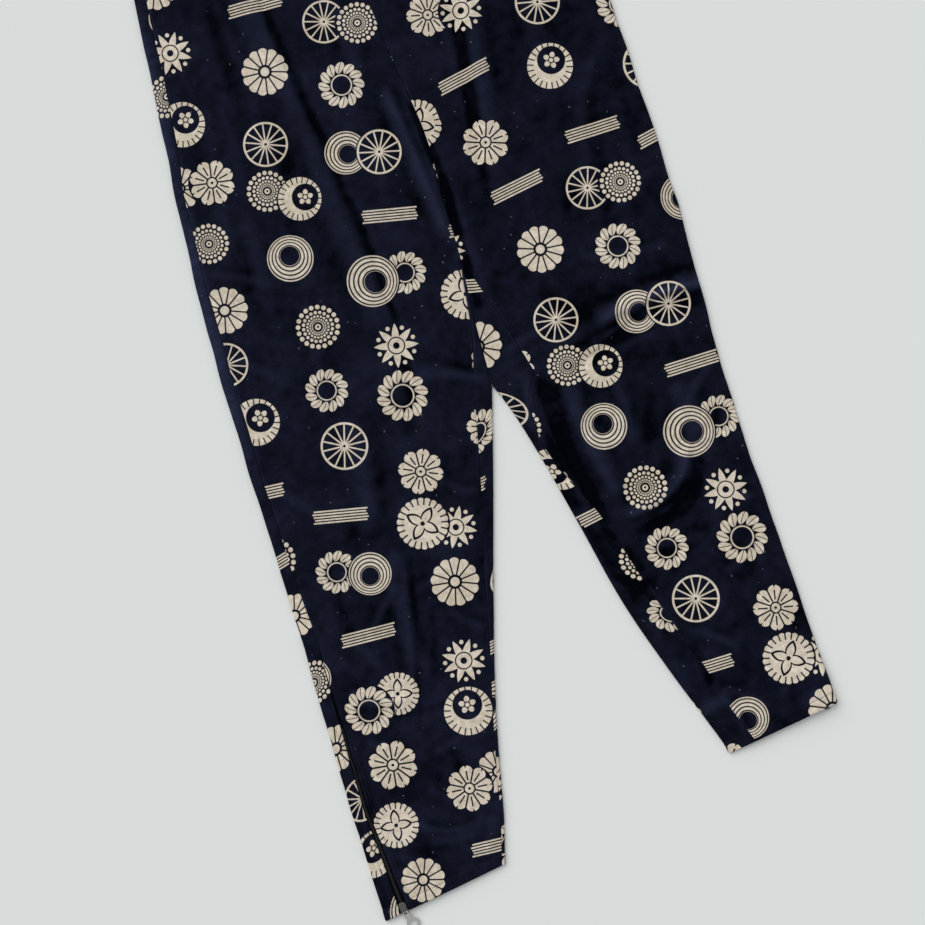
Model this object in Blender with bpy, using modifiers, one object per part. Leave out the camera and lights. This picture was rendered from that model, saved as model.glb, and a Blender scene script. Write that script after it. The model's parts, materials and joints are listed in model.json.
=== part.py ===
"""Trousers with ankle zips, laid flat on their back, built as the pieces that are sewn together.

Metres. X runs across, to the right as seen from above, Y up the body to the waist, and Z up from
the surface that the trousers lie on. Left and right are as seen from above. The tables are in
millimetres from the fork, the point where the front, back and inside leg seams meet.
"""
import bmesh
import bpy
import numpy as np
from collections import namedtuple
from math import cos, pi, radians, sin
from mathutils import Matrix, Vector

MM = 0.001

# Cloth
CLOTH = 1.2 * MM                # wall of one layer with its turnings
BAND_CLOTH = 1.6 * MM           # the waistband is doubled
SEAM_GAP = 0.3 * MM             # between pieces at a seam
EDGE_REACH = 2.2 * MM           # how far a folded edge rounds out past the flat layers
CROWN = 1.3 * MM                # rise of the upper layer away from the folded edges
CROWN_WIDTH = 40 * MM
FOLD_FADE = 16 * MM             # creases die out over this width at a folded edge
LOWEST_TOP = 3.1 * MM           # lowest that a trough may press the upper layer
UNDERSIDE = 0.001 * MM          # step past the end of the top, onto the underside
FORK = (0.0130, 0.1360)         # the fork's place, from the middle of the laid-out garment
BAND_DEPTH = 36 * MM

# Zips and their pulls
ZIP_PROUD = 0.7 * MM            # rise of the chain over the cloth beside it
ZIP_WALL = 1.6 * MM
ZIP_NARROWEST = 1.65 * MM       # half the chain's width where it starts
ZIP_ROUND = (0, 0.8, 1, 0.8, 0)  # how the chain's face is rounded, across it
SLIDER_WIDE = 8.8 * MM
SLIDER_NARROW = 6.8 * MM
SLIDER_THICK = 3.2 * MM
SLIDER_BEHIND = 11.0 * MM       # slider's length from the hinge up the closed zip
SLIDER_AHEAD = 2.3 * MM         # and past the hinge, beyond the hem
SLIDER_DROP = 1.3 * MM          # from the hinge to the slider's face
ARCH_WIDE = 2.2 * MM
ARCH_HALF = 1.9 * MM
ARCH_TOP = 1.55 * MM
ARCH_ROOT = 0.4 * MM            # the arch's feet reach into the slider
ARCH_HOLE = 1.1 * MM            # half the length of the arch's opening
ARCH_HOLE_TOP = 0.85 * MM       # from the hinge to the underside of the arch
EDGE_ROUND = 0.7 * MM
TAB_THICK = 1.2 * MM
TAB_NECK = 3.4 * MM             # half the width at the hinge
TAB_WINDOW = 1.6 * MM           # half the width of the slot that the arch passes through
TAB_WINDOW_END = 2.9 * MM
TAB_NECK_END = 5.0 * MM
TAB_RING_FROM = radians(28)     # the round end starts this far below its middle
TAB_RING_AT = 16.0 * MM         # from the hinge to the middle of the ring
TAB_RING = 7.2 * MM
TAB_RING_HOLE = 4.2 * MM
LEFT_HINGE_HEIGHT = 6.7 * MM
RIGHT_HINGE_HEIGHT = 1.9 * MM   # the right zip faces down, with its tab tucked under it
LEFT_TAB_TURN = radians(20)     # from straight down the body
LEFT_TAB_DROOP = radians(13)
RIGHT_TAB_FOLD = radians(177.5)

# The right hem's outer corner is propped up by the slider under it
LIFT = 3.0 * MM
LIFT_FULL = 30 * MM
LIFT_END = 75 * MM

# Grid of each panel
ROWS_BODY = 14
ROWS_FORK = 6
ROWS_LEG = 21
TOP_COLUMNS = 9
FOLD_COLUMNS = 4
STRIP_COLUMNS = 3
UNDER_COLUMNS = 4
NEAR_SEAM = 9 * MM              # a column stands this far in from an outer seam
NEAR_CENTRE = 40 * MM           # columns are closer within this distance of the inner seam
BAND_ROWS = 2
FORK_SPAN = 1                   # the second of a side's three tables
ABOVE_CROTCH = 3 * MM           # the last row before the legs part
TONGUE_TIP = 1 * MM             # width of the back panels' tongues at the fork

# One row across half the body or one leg: its outer and inner end on the garment's outline, the
# seams' distance in from those ends (below zero: on the underside), the height of the outer edge
# and half the width that the zip takes. The inner end follows the centre seam down to the crotch.
Section = namedtuple("Section", "outer_x outer_y inner_x inner_y out_seam in_seam edge zip_half")
LEFT_BODY = (
    Section(-262, 372, -26, 372, 13, 0, 4.4, 0),
    Section(-271, 247, -14, 247, 14, 0, 4.4, 0),
    Section(-280, 123, 1, 123, 10, 0, 4.4, 0),
    Section(-285, 0, 0, 0, 13, 0, 4.4, 0),
)
LEFT_FORK = (
    Section(-285, 0, 0, 0, 13, 1, 4.4, 0),
    Section(-285, -67, -4, -67, 13, 5, 4.4, 0),
    Section(-284, -143, -5, -137, 12, 20, 4.4, 0),
)
LEFT_LEG = (
    Section(-284, -143, -5, -137, 12, 20, 4.4, 0),
    Section(-281, -249, -32, -236, 12, 14, 4.4, 0),
    Section(-279, -354, -60, -334, 16, 10, 4.4, 0),
    Section(-279, -450, -86, -428, 16, 3.6, 4.4, 1.7),
    Section(-278, -541, -107, -517, 16, 3.4, 4.4, 2.4),
    Section(-276, -611, -121, -587, 20, 3.4, 4.6, 3.0),
    Section(-275, -650, -131, -626, 22, 3.4, 4.8, 4.8),
    Section(-275, -662, -134, -638, 23, 3.4, 4.8, 5.0),
)
RIGHT_BODY = (
    Section(225, 372, -26, 372, -3, 0, 4.4, 0),
    Section(231, 247, -14, 247, -3, 0, 4.4, 0),
    Section(237, 123, 1, 123, -3, 0, 4.4, 0),
    Section(242, 0, 0, 0, -3, 0, 4.4, 0),
)
RIGHT_FORK = (
    Section(242, 0, 0, 0, -3, 1, 4.4, 0),
    Section(241, -63, -4, -67, -3, 27, 4.6, 0),
    Section(240, -128, -5, -137, -3, 48, 4.6, 0),
)
RIGHT_LEG = (
    Section(240, -128, -5, -137, -3, 48, 4.6, 0),
    Section(239, -153, 7, -167, -3, 22, 4.4, 0),
    Section(239, -199, 22, -218, -3, 9, 4.4, 0),
    Section(242, -282, 44, -308, -3, 25, 4.4, 0),
    Section(247, -368, 65, -398, -4, 32, 4.4, 1.7),
    Section(252, -460, 96, -491, -6, 34, 5.0, 2.4),
    Section(255, -520, 118, -549, -8, 29, 6.6, 3.0),
    Section(258, -557, 129, -579, -10, 30, 8.4, 4.8),
    Section(259, -569, 132, -590, -11, 31, 8.6, 5.0),
)

# The large soft folds of the upper layer, each along a curve bent towards its middle point
FOLD_POINTS = 17
FOLD_END = 0.18                 # share of its length over which a fold dies out
FAR = 1e9
Fold = namedtuple("Fold", "name x0 y0 bend_x bend_y x1 y1 half_width height")
FOLDS = (
    Fold("left pleat", -152, 372, -118, 150, -98, -75, 24, 3.0),
    Fold("left pleat trough", -134, 372, -104, 160, -84, -78, 12, -1.8),
    Fold("left pleat tail", -86, -50, -90, -110, -104, -175, 16, -1.6),
    Fold("outer pleat trough", -190, 350, -182, 270, -184, 180, 14, -1.4),
    Fold("centre lip", -30, 215, -14, 120, -5, 12, 15, 4.2),
    Fold("centre trough", 0, 205, 14, 110, 8, 20, 10, -2.2),
    Fold("fork trough", 3, 8, 3, -22, 4, -60, 13, -1.9),
    Fold("right pleat", 92, 372, 76, 220, 62, 60, 20, 2.2),
    Fold("right pleat trough", 78, 372, 60, 200, 46, 50, 13, -1.8),
    Fold("hip ridge", 244, -90, 150, -88, 58, -122, 18, 4.6),
    Fold("hip trough", 242, -108, 160, -108, 66, -152, 15, -2.2),
    Fold("inseam trough", 42, -138, 46, -225, 69, -314, 15, -2.4),
    Fold("inseam ridge", 72, -150, 70, -225, 96, -305, 17, 3.4),
    Fold("knee ridge", 178, -252, 176, -312, 84, -314, 15, 4.6),
    Fold("knee trough", 184, -268, 182, -332, 92, -334, 12, -2.0),
    Fold("calf fold", 208, -308, 220, -322, 232, -336, 9, 2.0),
    Fold("left thigh fold", -166, -120, -168, -180, -176, -260, 22, 2.2),
    Fold("left thigh trough", -140, -140, -146, -190, -152, -250, 14, -1.6),
    Fold("left knee fold", -150, -270, -172, -330, -166, -420, 16, 2.4),
    Fold("zip end fold", -246, -410, -222, -428, -176, -440, 10, 3.2),
    Fold("left hem fold", -214, -566, -190, -592, -134, -584, 10, 2.0),
    Fold("left shin fold", -190, -532, -174, -548, -158, -560, 9, 1.6),
)


def column(table, name, factor=MM):
    """One named column of a table as an array, in metres."""
    return np.array([getattr(row, name) for row in table], dtype=float) * factor


def slopes(at, values):
    """Slope at each knot that keeps a curve through the knots from overshooting."""
    step = np.diff(at)
    rise = np.diff(values) / step
    inner = np.zeros(len(values))
    for i in range(1, len(values) - 1):
        if rise[i - 1] * rise[i] > 0:
            wide, narrow = 2 * step[i] + step[i - 1], step[i] + 2 * step[i - 1]
            inner[i] = (wide + narrow) / (wide / rise[i - 1] + narrow / rise[i])
    inner[0], inner[-1] = rise[0], rise[-1]
    return inner


def through(at, values, where):
    """Smooth curve through the knots, read at the given places."""
    slope = slopes(at, values)
    i = np.clip(np.searchsorted(at, where, side="right") - 1, 0, len(at) - 2)
    step = at[i + 1] - at[i]
    t = (where - at[i]) / step
    keep = values[i] * (1 + 2 * t) * (1 - t) ** 2 + values[i + 1] * t * t * (3 - 2 * t)
    return keep + step * (slope[i] * t * (1 - t) ** 2 - slope[i + 1] * t * t * (1 - t))


def smooth(value):
    """0 below zero, 1 above one, and an even S between."""
    value = np.clip(value, 0, 1)
    return value * value * (3 - 2 * value)


def half_round(reach, half_height):
    """Length along a folded edge, half of an ellipse."""
    return pi * np.sqrt((reach ** 2 + half_height ** 2) / 2)


def fold_shape(x, y, fold):
    """Height that one fold adds: a rounded ridge or trough along a bent line, dying at its ends."""
    t = np.linspace(0, 1, FOLD_POINTS)
    line_x = (1 - t) ** 2 * fold.x0 + 2 * t * (1 - t) * fold.bend_x + t * t * fold.x1
    line_y = (1 - t) ** 2 * fold.y0 + 2 * t * (1 - t) * fold.bend_y + t * t * fold.y1
    best = np.full(x.shape, FAR)
    along = np.zeros(x.shape)
    for i in range(len(t) - 1):
        dx, dy = line_x[i + 1] - line_x[i], line_y[i + 1] - line_y[i]
        share = ((x / MM - line_x[i]) * dx + (y / MM - line_y[i]) * dy) / (dx * dx + dy * dy)
        share = np.clip(share, 0, 1)
        apart = np.hypot(x / MM - line_x[i] - share * dx, y / MM - line_y[i] - share * dy)
        nearer = apart < best
        along = np.where(nearer, t[i] + share * (t[1] - t[0]), along)
        best = np.where(nearer, apart, best)
    across = np.clip(1 - (best / fold.half_width) ** 2, 0, 1) ** 2
    ends = smooth((1 - along) / FOLD_END)
    runs_into_band = fold.y0 >= LEFT_BODY[0].outer_y
    if not runs_into_band:
        ends = ends * smooth(along / FOLD_END)
    return fold.height * MM * across * ends


def folds(x, y):
    """All the large folds of the upper layer at the given places."""
    return sum(fold_shape(x, y, fold) for fold in FOLDS)


class Rows:
    """Rows across half the garment, each a flattened ring of cloth.

    A place on a ring is its distance along the cloth: 0 where the outer fold leaves the underside,
    then over the fold, across the top, round the inner fold and back along the underside.
    """

    def __init__(self, tables, counts, side):
        self.side = side
        parts = {name: [] for name in Section._fields}
        for span, (table, count) in enumerate(zip(tables, counts)):
            knots = -column(table, "inner_y")
            where = np.linspace(knots[0], knots[-1], count + 1)[(1 if span else 0):]
            if span == FORK_SPAN:
                where = np.insert(where, -1, knots[-1] - ABOVE_CROTCH)
            for name in Section._fields:
                parts[name].append(through(knots, column(table, name), where))
        for name in Section._fields:
            setattr(self, name, np.concatenate(parts[name]))
        self.fork = counts[0]
        self.crotch = counts[0] + counts[1] + 1 if len(counts) > 1 else 0
        number = len(self.outer_x)
        self.folded = np.arange(number) >= self.crotch
        self.in_seam[self.fork] = TONGUE_TIP if self.crotch else 0
        self.outer = np.stack([self.outer_x, self.outer_y], axis=1)
        self.inner = np.stack([self.inner_x, self.inner_y], axis=1)
        length = np.linalg.norm(self.inner - self.outer, axis=1)
        self.width = length - SEAM_GAP / 2
        self.across = (self.inner - self.outer) / length[:, None]
        outer_half = (self.edge - self.lift(self.outer_x, self.outer_y)) / 2
        self.outer_arc = half_round(EDGE_REACH, outer_half)
        self.inner_edge = np.full(number, self.edge[0])
        self.inner_reach = np.where(self.folded, EDGE_REACH, 0)
        self.inner_arc = np.where(self.folded, half_round(EDGE_REACH, self.inner_edge / 2), 0)
        self.flat = self.width - EDGE_REACH - self.inner_reach
        self.top_end = self.outer_arc + self.flat
        self.turn = self.top_end + self.inner_arc
        self.round = self.turn + self.flat

    def lift(self, x, y):
        """How far the underside is raised: only round the right hem's outer corner."""
        corner_x, corner_y = RIGHT_LEG[-1].outer_x * MM, RIGHT_LEG[-1].outer_y * MM
        near = np.hypot(x - corner_x, y - corner_y)
        return LIFT * (1 - smooth((near - LIFT_FULL) / (LIFT_END - LIFT_FULL)))

    def outer_seam(self):
        """Distance along the ring of the outer seam, on top inside the fold or on the underside."""
        return np.where(self.out_seam < 0, self.out_seam, self.outer_arc + self.out_seam - EDGE_REACH)

    def inner_seam(self):
        """Distance along the ring of the inside leg seam, or of the centre seam above the fork."""
        return self.top_end - self.in_seam + self.inner_reach

    def place(self, along, rows=slice(None)):
        """World points of places along the rings, one row of places for each ring."""
        def column_of(values):
            return values[rows][:, None]

        flat, outer_arc, turn = column_of(self.flat), column_of(self.outer_arc), column_of(self.turn)
        top_end, inner_arc = column_of(self.top_end), column_of(self.inner_arc)
        along = np.where(along < 0, along + column_of(self.round), along)
        along = np.where(along > column_of(self.round), along - column_of(self.round), along)
        on_outer = along < outer_arc
        on_top = (along >= outer_arc) & (along <= top_end)
        on_inner = (along > top_end) & (along < turn)
        outer_angle = pi * (along / outer_arc - 0.5)
        inner_angle = pi * (0.5 - (along - top_end) / np.maximum(inner_arc, UNDERSIDE))
        full, reach_in = column_of(self.width), column_of(self.inner_reach)
        inward = np.select(
            [on_outer, on_top, on_inner],
            [EDGE_REACH * (1 - np.cos(outer_angle)), EDGE_REACH + along - outer_arc,
             full - reach_in * (1 - np.cos(inner_angle))],
            full - reach_in - (along - turn))
        x = column_of(self.outer[:, 0]) + column_of(self.across[:, 0]) * inward
        y = column_of(self.outer[:, 1]) + column_of(self.across[:, 1]) * inward
        lift = self.lift(x, y)
        share = np.clip((along - outer_arc) / flat, 0, 1)
        edge = column_of(self.edge) * (1 - share) + column_of(self.inner_edge) * share
        rise = self.rise(x, y, along - outer_arc, top_end - along, rows)
        z = np.select(
            [on_outer, on_top, on_inner],
            [lift + (edge - lift) * (1 + np.sin(outer_angle)) / 2,
             np.maximum(edge + rise, LOWEST_TOP),
             lift + (edge - lift) * (1 + np.sin(inner_angle)) / 2],
            lift)
        return np.stack([x, y, z], axis=2)

    def rise(self, x, y, from_outer, from_inner, rows):
        """Crown and folds of the upper layer, which die out at the folded edges."""
        crotch_x, crotch_y = self.inner[self.crotch] if self.crotch else (0, 0)
        from_crotch = np.hypot(x - crotch_x, y - crotch_y)
        folded = self.folded[rows][:, None]
        near = np.minimum(np.where(folded, from_inner, from_crotch), from_outer)
        return CROWN * smooth(near / CROWN_WIDTH) + folds(x, y) * smooth(near / FOLD_FADE)


def steps(stops, counts):
    """Columns between stops: for each stretch the count of equal steps across it."""
    pieces = [stops[0][:, None]]
    for start, end, count in zip(stops[:-1], stops[1:], counts):
        share = np.arange(1, count + 1) / count
        pieces.append(start[:, None] + (end - start)[:, None] * share[None, :])
    return np.concatenate(pieces, axis=1)


def panel_object(name, points, used, material, thickness=CLOTH):
    """An open surface of the used cells of a grid of points, given its wall by Solidify."""
    rows, columns = points.shape[:2]
    number = np.arange(rows * columns).reshape(rows, columns)
    faces = np.stack([number[:-1, :-1], number[1:, :-1], number[1:, 1:], number[:-1, 1:]], axis=2)
    faces = faces[used].reshape(-1, 4)
    kept, faces = np.unique(faces, return_inverse=True)
    mesh = bpy.data.meshes.new(name)
    shift = np.array([FORK[0], FORK[1], 0])
    mesh.from_pydata((points.reshape(-1, 3)[kept] + shift).tolist(), [], faces.reshape(-1, 4).tolist())
    mesh.shade_smooth()
    obj = bpy.data.objects.new(name, mesh)
    obj.data.materials.append(material)
    garment.objects.link(obj)
    wall = obj.modifiers.new("wall", "SOLIDIFY")
    wall.thickness = thickness
    wall.offset = -1
    wall.use_even_offset = True
    return obj


def front_points(rows):
    """The front panel runs over the top of each ring, from the outer seam to the inner one.

    The right front also wraps round the outer edge, because its outer seam is on the underside.
    """
    start = rows.outer_seam() + rows.zip_half + SEAM_GAP / 2
    end = rows.inner_seam() - SEAM_GAP / 2
    before = end - NEAR_CENTRE
    if rows.side == "left":
        stops = [start, start + NEAR_SEAM, before, end]
        counts = [1, TOP_COLUMNS, STRIP_COLUMNS]
    else:
        zero = np.zeros(len(start))
        stops = [start, zero, rows.outer_arc, rows.outer_arc + NEAR_SEAM, before, end]
        counts = [1, FOLD_COLUMNS, 1, TOP_COLUMNS, STRIP_COLUMNS]
    return rows.place(steps(stops, counts))


def back_points(rows):
    """The back panel runs along the underside and wraps round the edges to both seams.

    Above the crotch the inner fold is left out, so the underside ends at the centre seam and a
    tongue of the panel shows between the inside leg seam and the centre seam.
    """
    inner = rows.inner_seam() + SEAM_GAP / 2
    outer = rows.round + rows.outer_seam() - rows.zip_half - SEAM_GAP / 2
    stops = [inner, rows.top_end, rows.turn + UNDERSIDE]
    counts = [STRIP_COLUMNS, FOLD_COLUMNS]
    if rows.side == "left":
        stops += [rows.round, rows.round + rows.outer_arc, outer]
        counts += [UNDER_COLUMNS, FOLD_COLUMNS, STRIP_COLUMNS]
    else:
        stops += [outer]
        counts += [UNDER_COLUMNS + 1]
    points = rows.place(steps(stops, counts))
    used = np.ones((points.shape[0] - 1, points.shape[1] - 1), dtype=bool)
    used[:rows.fork, :STRIP_COLUMNS] = False
    used[:rows.crotch, STRIP_COLUMNS:STRIP_COLUMNS + FOLD_COLUMNS] = False
    return points, used


def outward(points, side):
    """Turn the grid so that its faces point away from the inside of the garment."""
    return points if side == "left" else points[:, ::-1]


def make_front(name, rows, material):
    points = outward(front_points(rows), rows.side)
    used = np.ones((points.shape[0] - 1, points.shape[1] - 1), dtype=bool)
    return panel_object(name, points, used, material)


def make_back(name, rows, material):
    points, used = back_points(rows)
    if rows.side == "right":
        used = used[:, ::-1]
    return panel_object(name, outward(points, rows.side), used, material)


def make_waistband(material):
    """A doubled band round the top edge, a flattened ring that carries on the panels' sides."""
    left, right = LEFT_BODY[0], RIGHT_BODY[0]
    lean_left = (left.outer_x - LEFT_BODY[1].outer_x) / (left.outer_y - LEFT_BODY[1].outer_y)
    lean_right = (right.outer_x - RIGHT_BODY[1].outer_x) / (right.outer_y - RIGHT_BODY[1].outer_y)
    low, high = left.outer_y + SEAM_GAP / MM, left.outer_y + BAND_DEPTH / MM
    table = [
        Section(left.outer_x + lean_left * (y - left.outer_y), y,
                right.outer_x + lean_right * (y - left.outer_y), y, 0, 0, left.edge, 0)
        for y in (high, low)
    ]
    rows = Rows([table], [BAND_ROWS], "left")
    zero = np.zeros(len(rows.width))
    stops = [zero, rows.outer_arc, rows.top_end, rows.turn, rows.round]
    counts = [FOLD_COLUMNS, 2 * TOP_COLUMNS, FOLD_COLUMNS, 2 * UNDER_COLUMNS]
    points = rows.place(steps(stops, counts))
    used = np.ones((points.shape[0] - 1, points.shape[1] - 1), dtype=bool)
    band = panel_object("waistband", points, used, material, BAND_CLOTH)
    weld = band.modifiers.new("close the ring", "WELD")
    weld.merge_threshold = 0.00005
    band.modifiers.move(1, 0)
    return band


def make_zip(name, rows, material):
    """The closed chain and its tape, filling the gap between the panels down to the slider."""
    first = int(np.argmax(rows.zip_half > ZIP_NARROWEST))
    last = len(rows.zip_half) - 1
    part = slice(first, last)
    seam = rows.outer_seam()[part]
    half = rows.zip_half[part] - SEAM_GAP / 2
    seams = [seam - half, seam, seam + half]
    points = rows.place(steps(seams, [2, 2]), part)
    if rows.side == "left":
        points[:, :, 2] += np.array(ZIP_ROUND) * ZIP_PROUD
    points = outward(points, rows.side)
    used = np.ones((points.shape[0] - 1, points.shape[1] - 1), dtype=bool)
    return panel_object(name, points, used, material, ZIP_WALL)


def zip_end(rows):
    """The middle of the zip at the hem, and the direction that it runs there."""
    seam = rows.outer_seam()
    points = rows.place(seam[:, None])[:, 0, :]
    run = points[-1] - points[-2]
    return Vector((points[-1][0] + FORK[0], points[-1][1] + FORK[1], 0)), np.arctan2(run[0], -run[1])


def block(name, size, middle, collection):
    """A rectangular block from a cube primitive."""
    mesh = bpy.data.meshes.new(name)
    shape = bmesh.new()
    place = Matrix.Translation(middle) @ Matrix.Diagonal((*size, 1))
    bmesh.ops.create_cube(shape, size=1, matrix=place)
    shape.to_mesh(mesh)
    shape.free()
    obj = bpy.data.objects.new(name, mesh)
    collection.objects.link(obj)
    return obj


def make_slider(name, place, material):
    """The slider: a tapered, rounded block with an arch on its face that holds the pull tab."""
    length = SLIDER_BEHIND + SLIDER_AHEAD
    middle = (0, (SLIDER_AHEAD - SLIDER_BEHIND) / 2, -SLIDER_DROP - SLIDER_THICK / 2)
    slider = block(name, (SLIDER_WIDE, length, SLIDER_THICK), middle, garment)
    for vertex in slider.data.vertices:
        if vertex.co.y < 0:
            vertex.co.x *= SLIDER_NARROW / SLIDER_WIDE
    slider.data.materials.append(material)
    rounding = slider.modifiers.new("rounded edges", "BEVEL")
    rounding.width = EDGE_ROUND
    rounding.segments = 2
    arch_deep = ARCH_TOP + SLIDER_DROP + ARCH_ROOT
    arch_middle = (0, 0, ARCH_TOP - arch_deep / 2)
    arch = block(name + "_arch", (ARCH_WIDE, 2 * ARCH_HALF, arch_deep), arch_middle, cutters)
    hole_middle = (0, 0, (ARCH_HOLE_TOP - SLIDER_DROP) / 2)
    hole_size = (4 * ARCH_WIDE, 2 * ARCH_HOLE, ARCH_HOLE_TOP + SLIDER_DROP)
    hole = block(name + "_hole", hole_size, hole_middle, cutters)
    for obj, operation in ((arch, "UNION"), (hole, "DIFFERENCE")):
        obj.hide_render = True
        obj.display_type = "WIRE"
        obj.matrix_world = place
        joined = slider.modifiers.new(operation.lower(), "BOOLEAN")
        joined.operation = operation
        joined.object = obj
    slider.matrix_world = place
    return slider


def tab_outline():
    """The pull tab's outline: a straight neck that widens into a round end."""
    turn = np.linspace(-TAB_RING_FROM, pi + TAB_RING_FROM, 25)
    ring = [(TAB_RING * cos(a), TAB_RING_AT + TAB_RING * sin(a)) for a in turn]
    start = -TAB_THICK / 2
    right = [(TAB_NECK, start), (TAB_NECK, TAB_NECK_END)]
    return right + ring + [(-x, y) for x, y in reversed(right)]


def make_tab(name, place, material):
    """The pull tab: a flat plate with a slot for the arch and a round hole in its end."""
    slot = [(TAB_WINDOW, TAB_THICK / 2), (TAB_WINDOW, TAB_WINDOW_END),
            (-TAB_WINDOW, TAB_WINDOW_END), (-TAB_WINDOW, TAB_THICK / 2)]
    turn = np.linspace(0, 2 * pi, 20, endpoint=False)
    hole = [(TAB_RING_HOLE * cos(a), TAB_RING_AT + TAB_RING_HOLE * sin(a)) for a in turn]
    plate = bpy.data.curves.new(name, "CURVE")
    plate.dimensions = "2D"
    plate.fill_mode = "BOTH"
    plate.extrude = TAB_THICK / 2
    for line in (tab_outline(), slot, hole):
        spline = plate.splines.new("POLY")
        spline.points.add(len(line) - 1)
        spline.use_cyclic_u = True
        for point, (x, y) in zip(spline.points, line):
            point.co = (x, y, 0, 1)
    drawn = bpy.data.objects.new(name + "_outline", plate)
    garment.objects.link(drawn)
    seen = drawn.evaluated_get(bpy.context.evaluated_depsgraph_get())
    mesh = bpy.data.meshes.new_from_object(seen)
    bpy.data.objects.remove(drawn)
    shape = bmesh.new()
    shape.from_mesh(mesh)
    bmesh.ops.remove_doubles(shape, verts=shape.verts, dist=0.00001)
    bmesh.ops.recalc_face_normals(shape, faces=shape.faces)
    shape.to_mesh(mesh)
    shape.free()
    tab = bpy.data.objects.new(name, mesh)
    mesh.materials.append(material)
    garment.objects.link(tab)
    tab.matrix_world = place
    return tab


def finish(name, colour, roughness, metallic=0.0):
    """A material of one colour."""
    material = bpy.data.materials.new(name)
    material.use_nodes = True
    shader = material.node_tree.nodes["Principled BSDF"]
    shader.inputs["Base Color"].default_value = (*colour, 1)
    shader.inputs["Roughness"].default_value = roughness
    shader.inputs["Metallic"].default_value = metallic
    return material


for old in list(bpy.data.objects):
    bpy.data.objects.remove(old)
garment = bpy.data.collections.new("ankle_zip_trousers")
cutters = bpy.data.collections.new("cutters")
bpy.context.scene.collection.children.link(garment)
bpy.context.scene.collection.children.link(cutters)

navy = (0.0070, 0.0080, 0.0160)
left_rows = Rows([LEFT_BODY, LEFT_FORK, LEFT_LEG], [ROWS_BODY, ROWS_FORK, ROWS_LEG], "left")
right_rows = Rows([RIGHT_BODY, RIGHT_FORK, RIGHT_LEG], [ROWS_BODY, ROWS_FORK, ROWS_LEG], "right")
make_front("front_left", left_rows, finish("printed cloth, left front", navy, 0.8))
make_front("front_right", right_rows, finish("printed cloth, right front", navy, 0.8))
make_back("back_left", left_rows, finish("printed cloth, left back", navy, 0.8))
make_back("back_right", right_rows, finish("printed cloth, right back", navy, 0.8))
make_waistband(finish("printed cloth, waistband", navy, 0.8))
make_zip("zip_left", left_rows, finish("zip chain, left", (0.006, 0.006, 0.008), 0.5))
make_zip("zip_right", right_rows, finish("zip chain, right", (0.006, 0.006, 0.008), 0.5))

left_end, left_run = zip_end(left_rows)
left_end.z = LEFT_HINGE_HEIGHT
left_place = Matrix.Translation(left_end) @ Matrix.Rotation(pi + left_run, 4, "Z")
make_slider("slider_left", left_place, finish("slider metal, left", (0.30, 0.30, 0.31), 0.35, 1))
left_tab = Matrix.Translation(left_end) @ Matrix.Rotation(pi + LEFT_TAB_TURN, 4, "Z")
left_tab = left_tab @ Matrix.Rotation(-LEFT_TAB_DROOP, 4, "X")
make_tab("pull_left", left_tab, finish("pull tab metal, left", (0.62, 0.62, 0.64), 0.25, 1))

right_end, right_run = zip_end(right_rows)
right_end.z = RIGHT_HINGE_HEIGHT
right_place = Matrix.Translation(right_end) @ Matrix.Rotation(pi + right_run, 4, "Z")
right_place = right_place @ Matrix.Rotation(pi, 4, "Y")
make_slider("slider_right", right_place, finish("slider metal, right", (0.30, 0.30, 0.31), 0.35, 1))
right_tab = right_place @ Matrix.Rotation(RIGHT_TAB_FOLD, 4, "X")
make_tab("pull_right", right_tab, finish("pull tab metal, right", (0.62, 0.62, 0.64), 0.25, 1))
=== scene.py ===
import json
from collections import namedtuple
from functools import cache, partialmethod, reduce
from math import cos, pi, radians, sin

import bmesh
import bpy
import numpy as np
from bpy.props import FloatProperty, FloatVectorProperty, PointerProperty
from mathutils import Matrix, Vector


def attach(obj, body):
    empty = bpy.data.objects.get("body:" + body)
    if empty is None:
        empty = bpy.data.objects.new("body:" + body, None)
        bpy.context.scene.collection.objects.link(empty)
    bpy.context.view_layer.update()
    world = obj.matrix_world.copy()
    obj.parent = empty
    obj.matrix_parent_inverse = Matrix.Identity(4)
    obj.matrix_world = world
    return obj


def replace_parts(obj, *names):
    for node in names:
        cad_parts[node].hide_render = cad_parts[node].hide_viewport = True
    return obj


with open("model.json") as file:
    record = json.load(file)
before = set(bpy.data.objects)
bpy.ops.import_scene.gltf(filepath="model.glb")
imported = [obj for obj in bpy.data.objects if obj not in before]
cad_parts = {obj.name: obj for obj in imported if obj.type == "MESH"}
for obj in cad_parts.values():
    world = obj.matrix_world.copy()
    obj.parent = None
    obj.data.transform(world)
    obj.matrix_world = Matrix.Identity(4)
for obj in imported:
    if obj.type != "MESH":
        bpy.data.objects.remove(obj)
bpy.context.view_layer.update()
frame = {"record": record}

bl_info = {
    "name": "Ankle-zip trousers, laid flat",
    "version": (1, 0, 0),
    "blender": (4, 5, 0),
    "location": "3D View > Sidebar > Trousers",
    "description": "Dresses the trousers: printed cloth, seams, stitching, zips and pull tabs",
    "category": "Object",
}

# Metres. X is across, Y up the body to the waist, Z up from the surface that the trousers lie on.
# Left and right are as seen from above. The tables are in millimetres from the fork.
MM = 0.001
FORK = (0.0130, 0.1360)
CROTCH, CROTCH_POINT = 137 * MM, (-5 * MM, -137 * MM)

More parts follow.
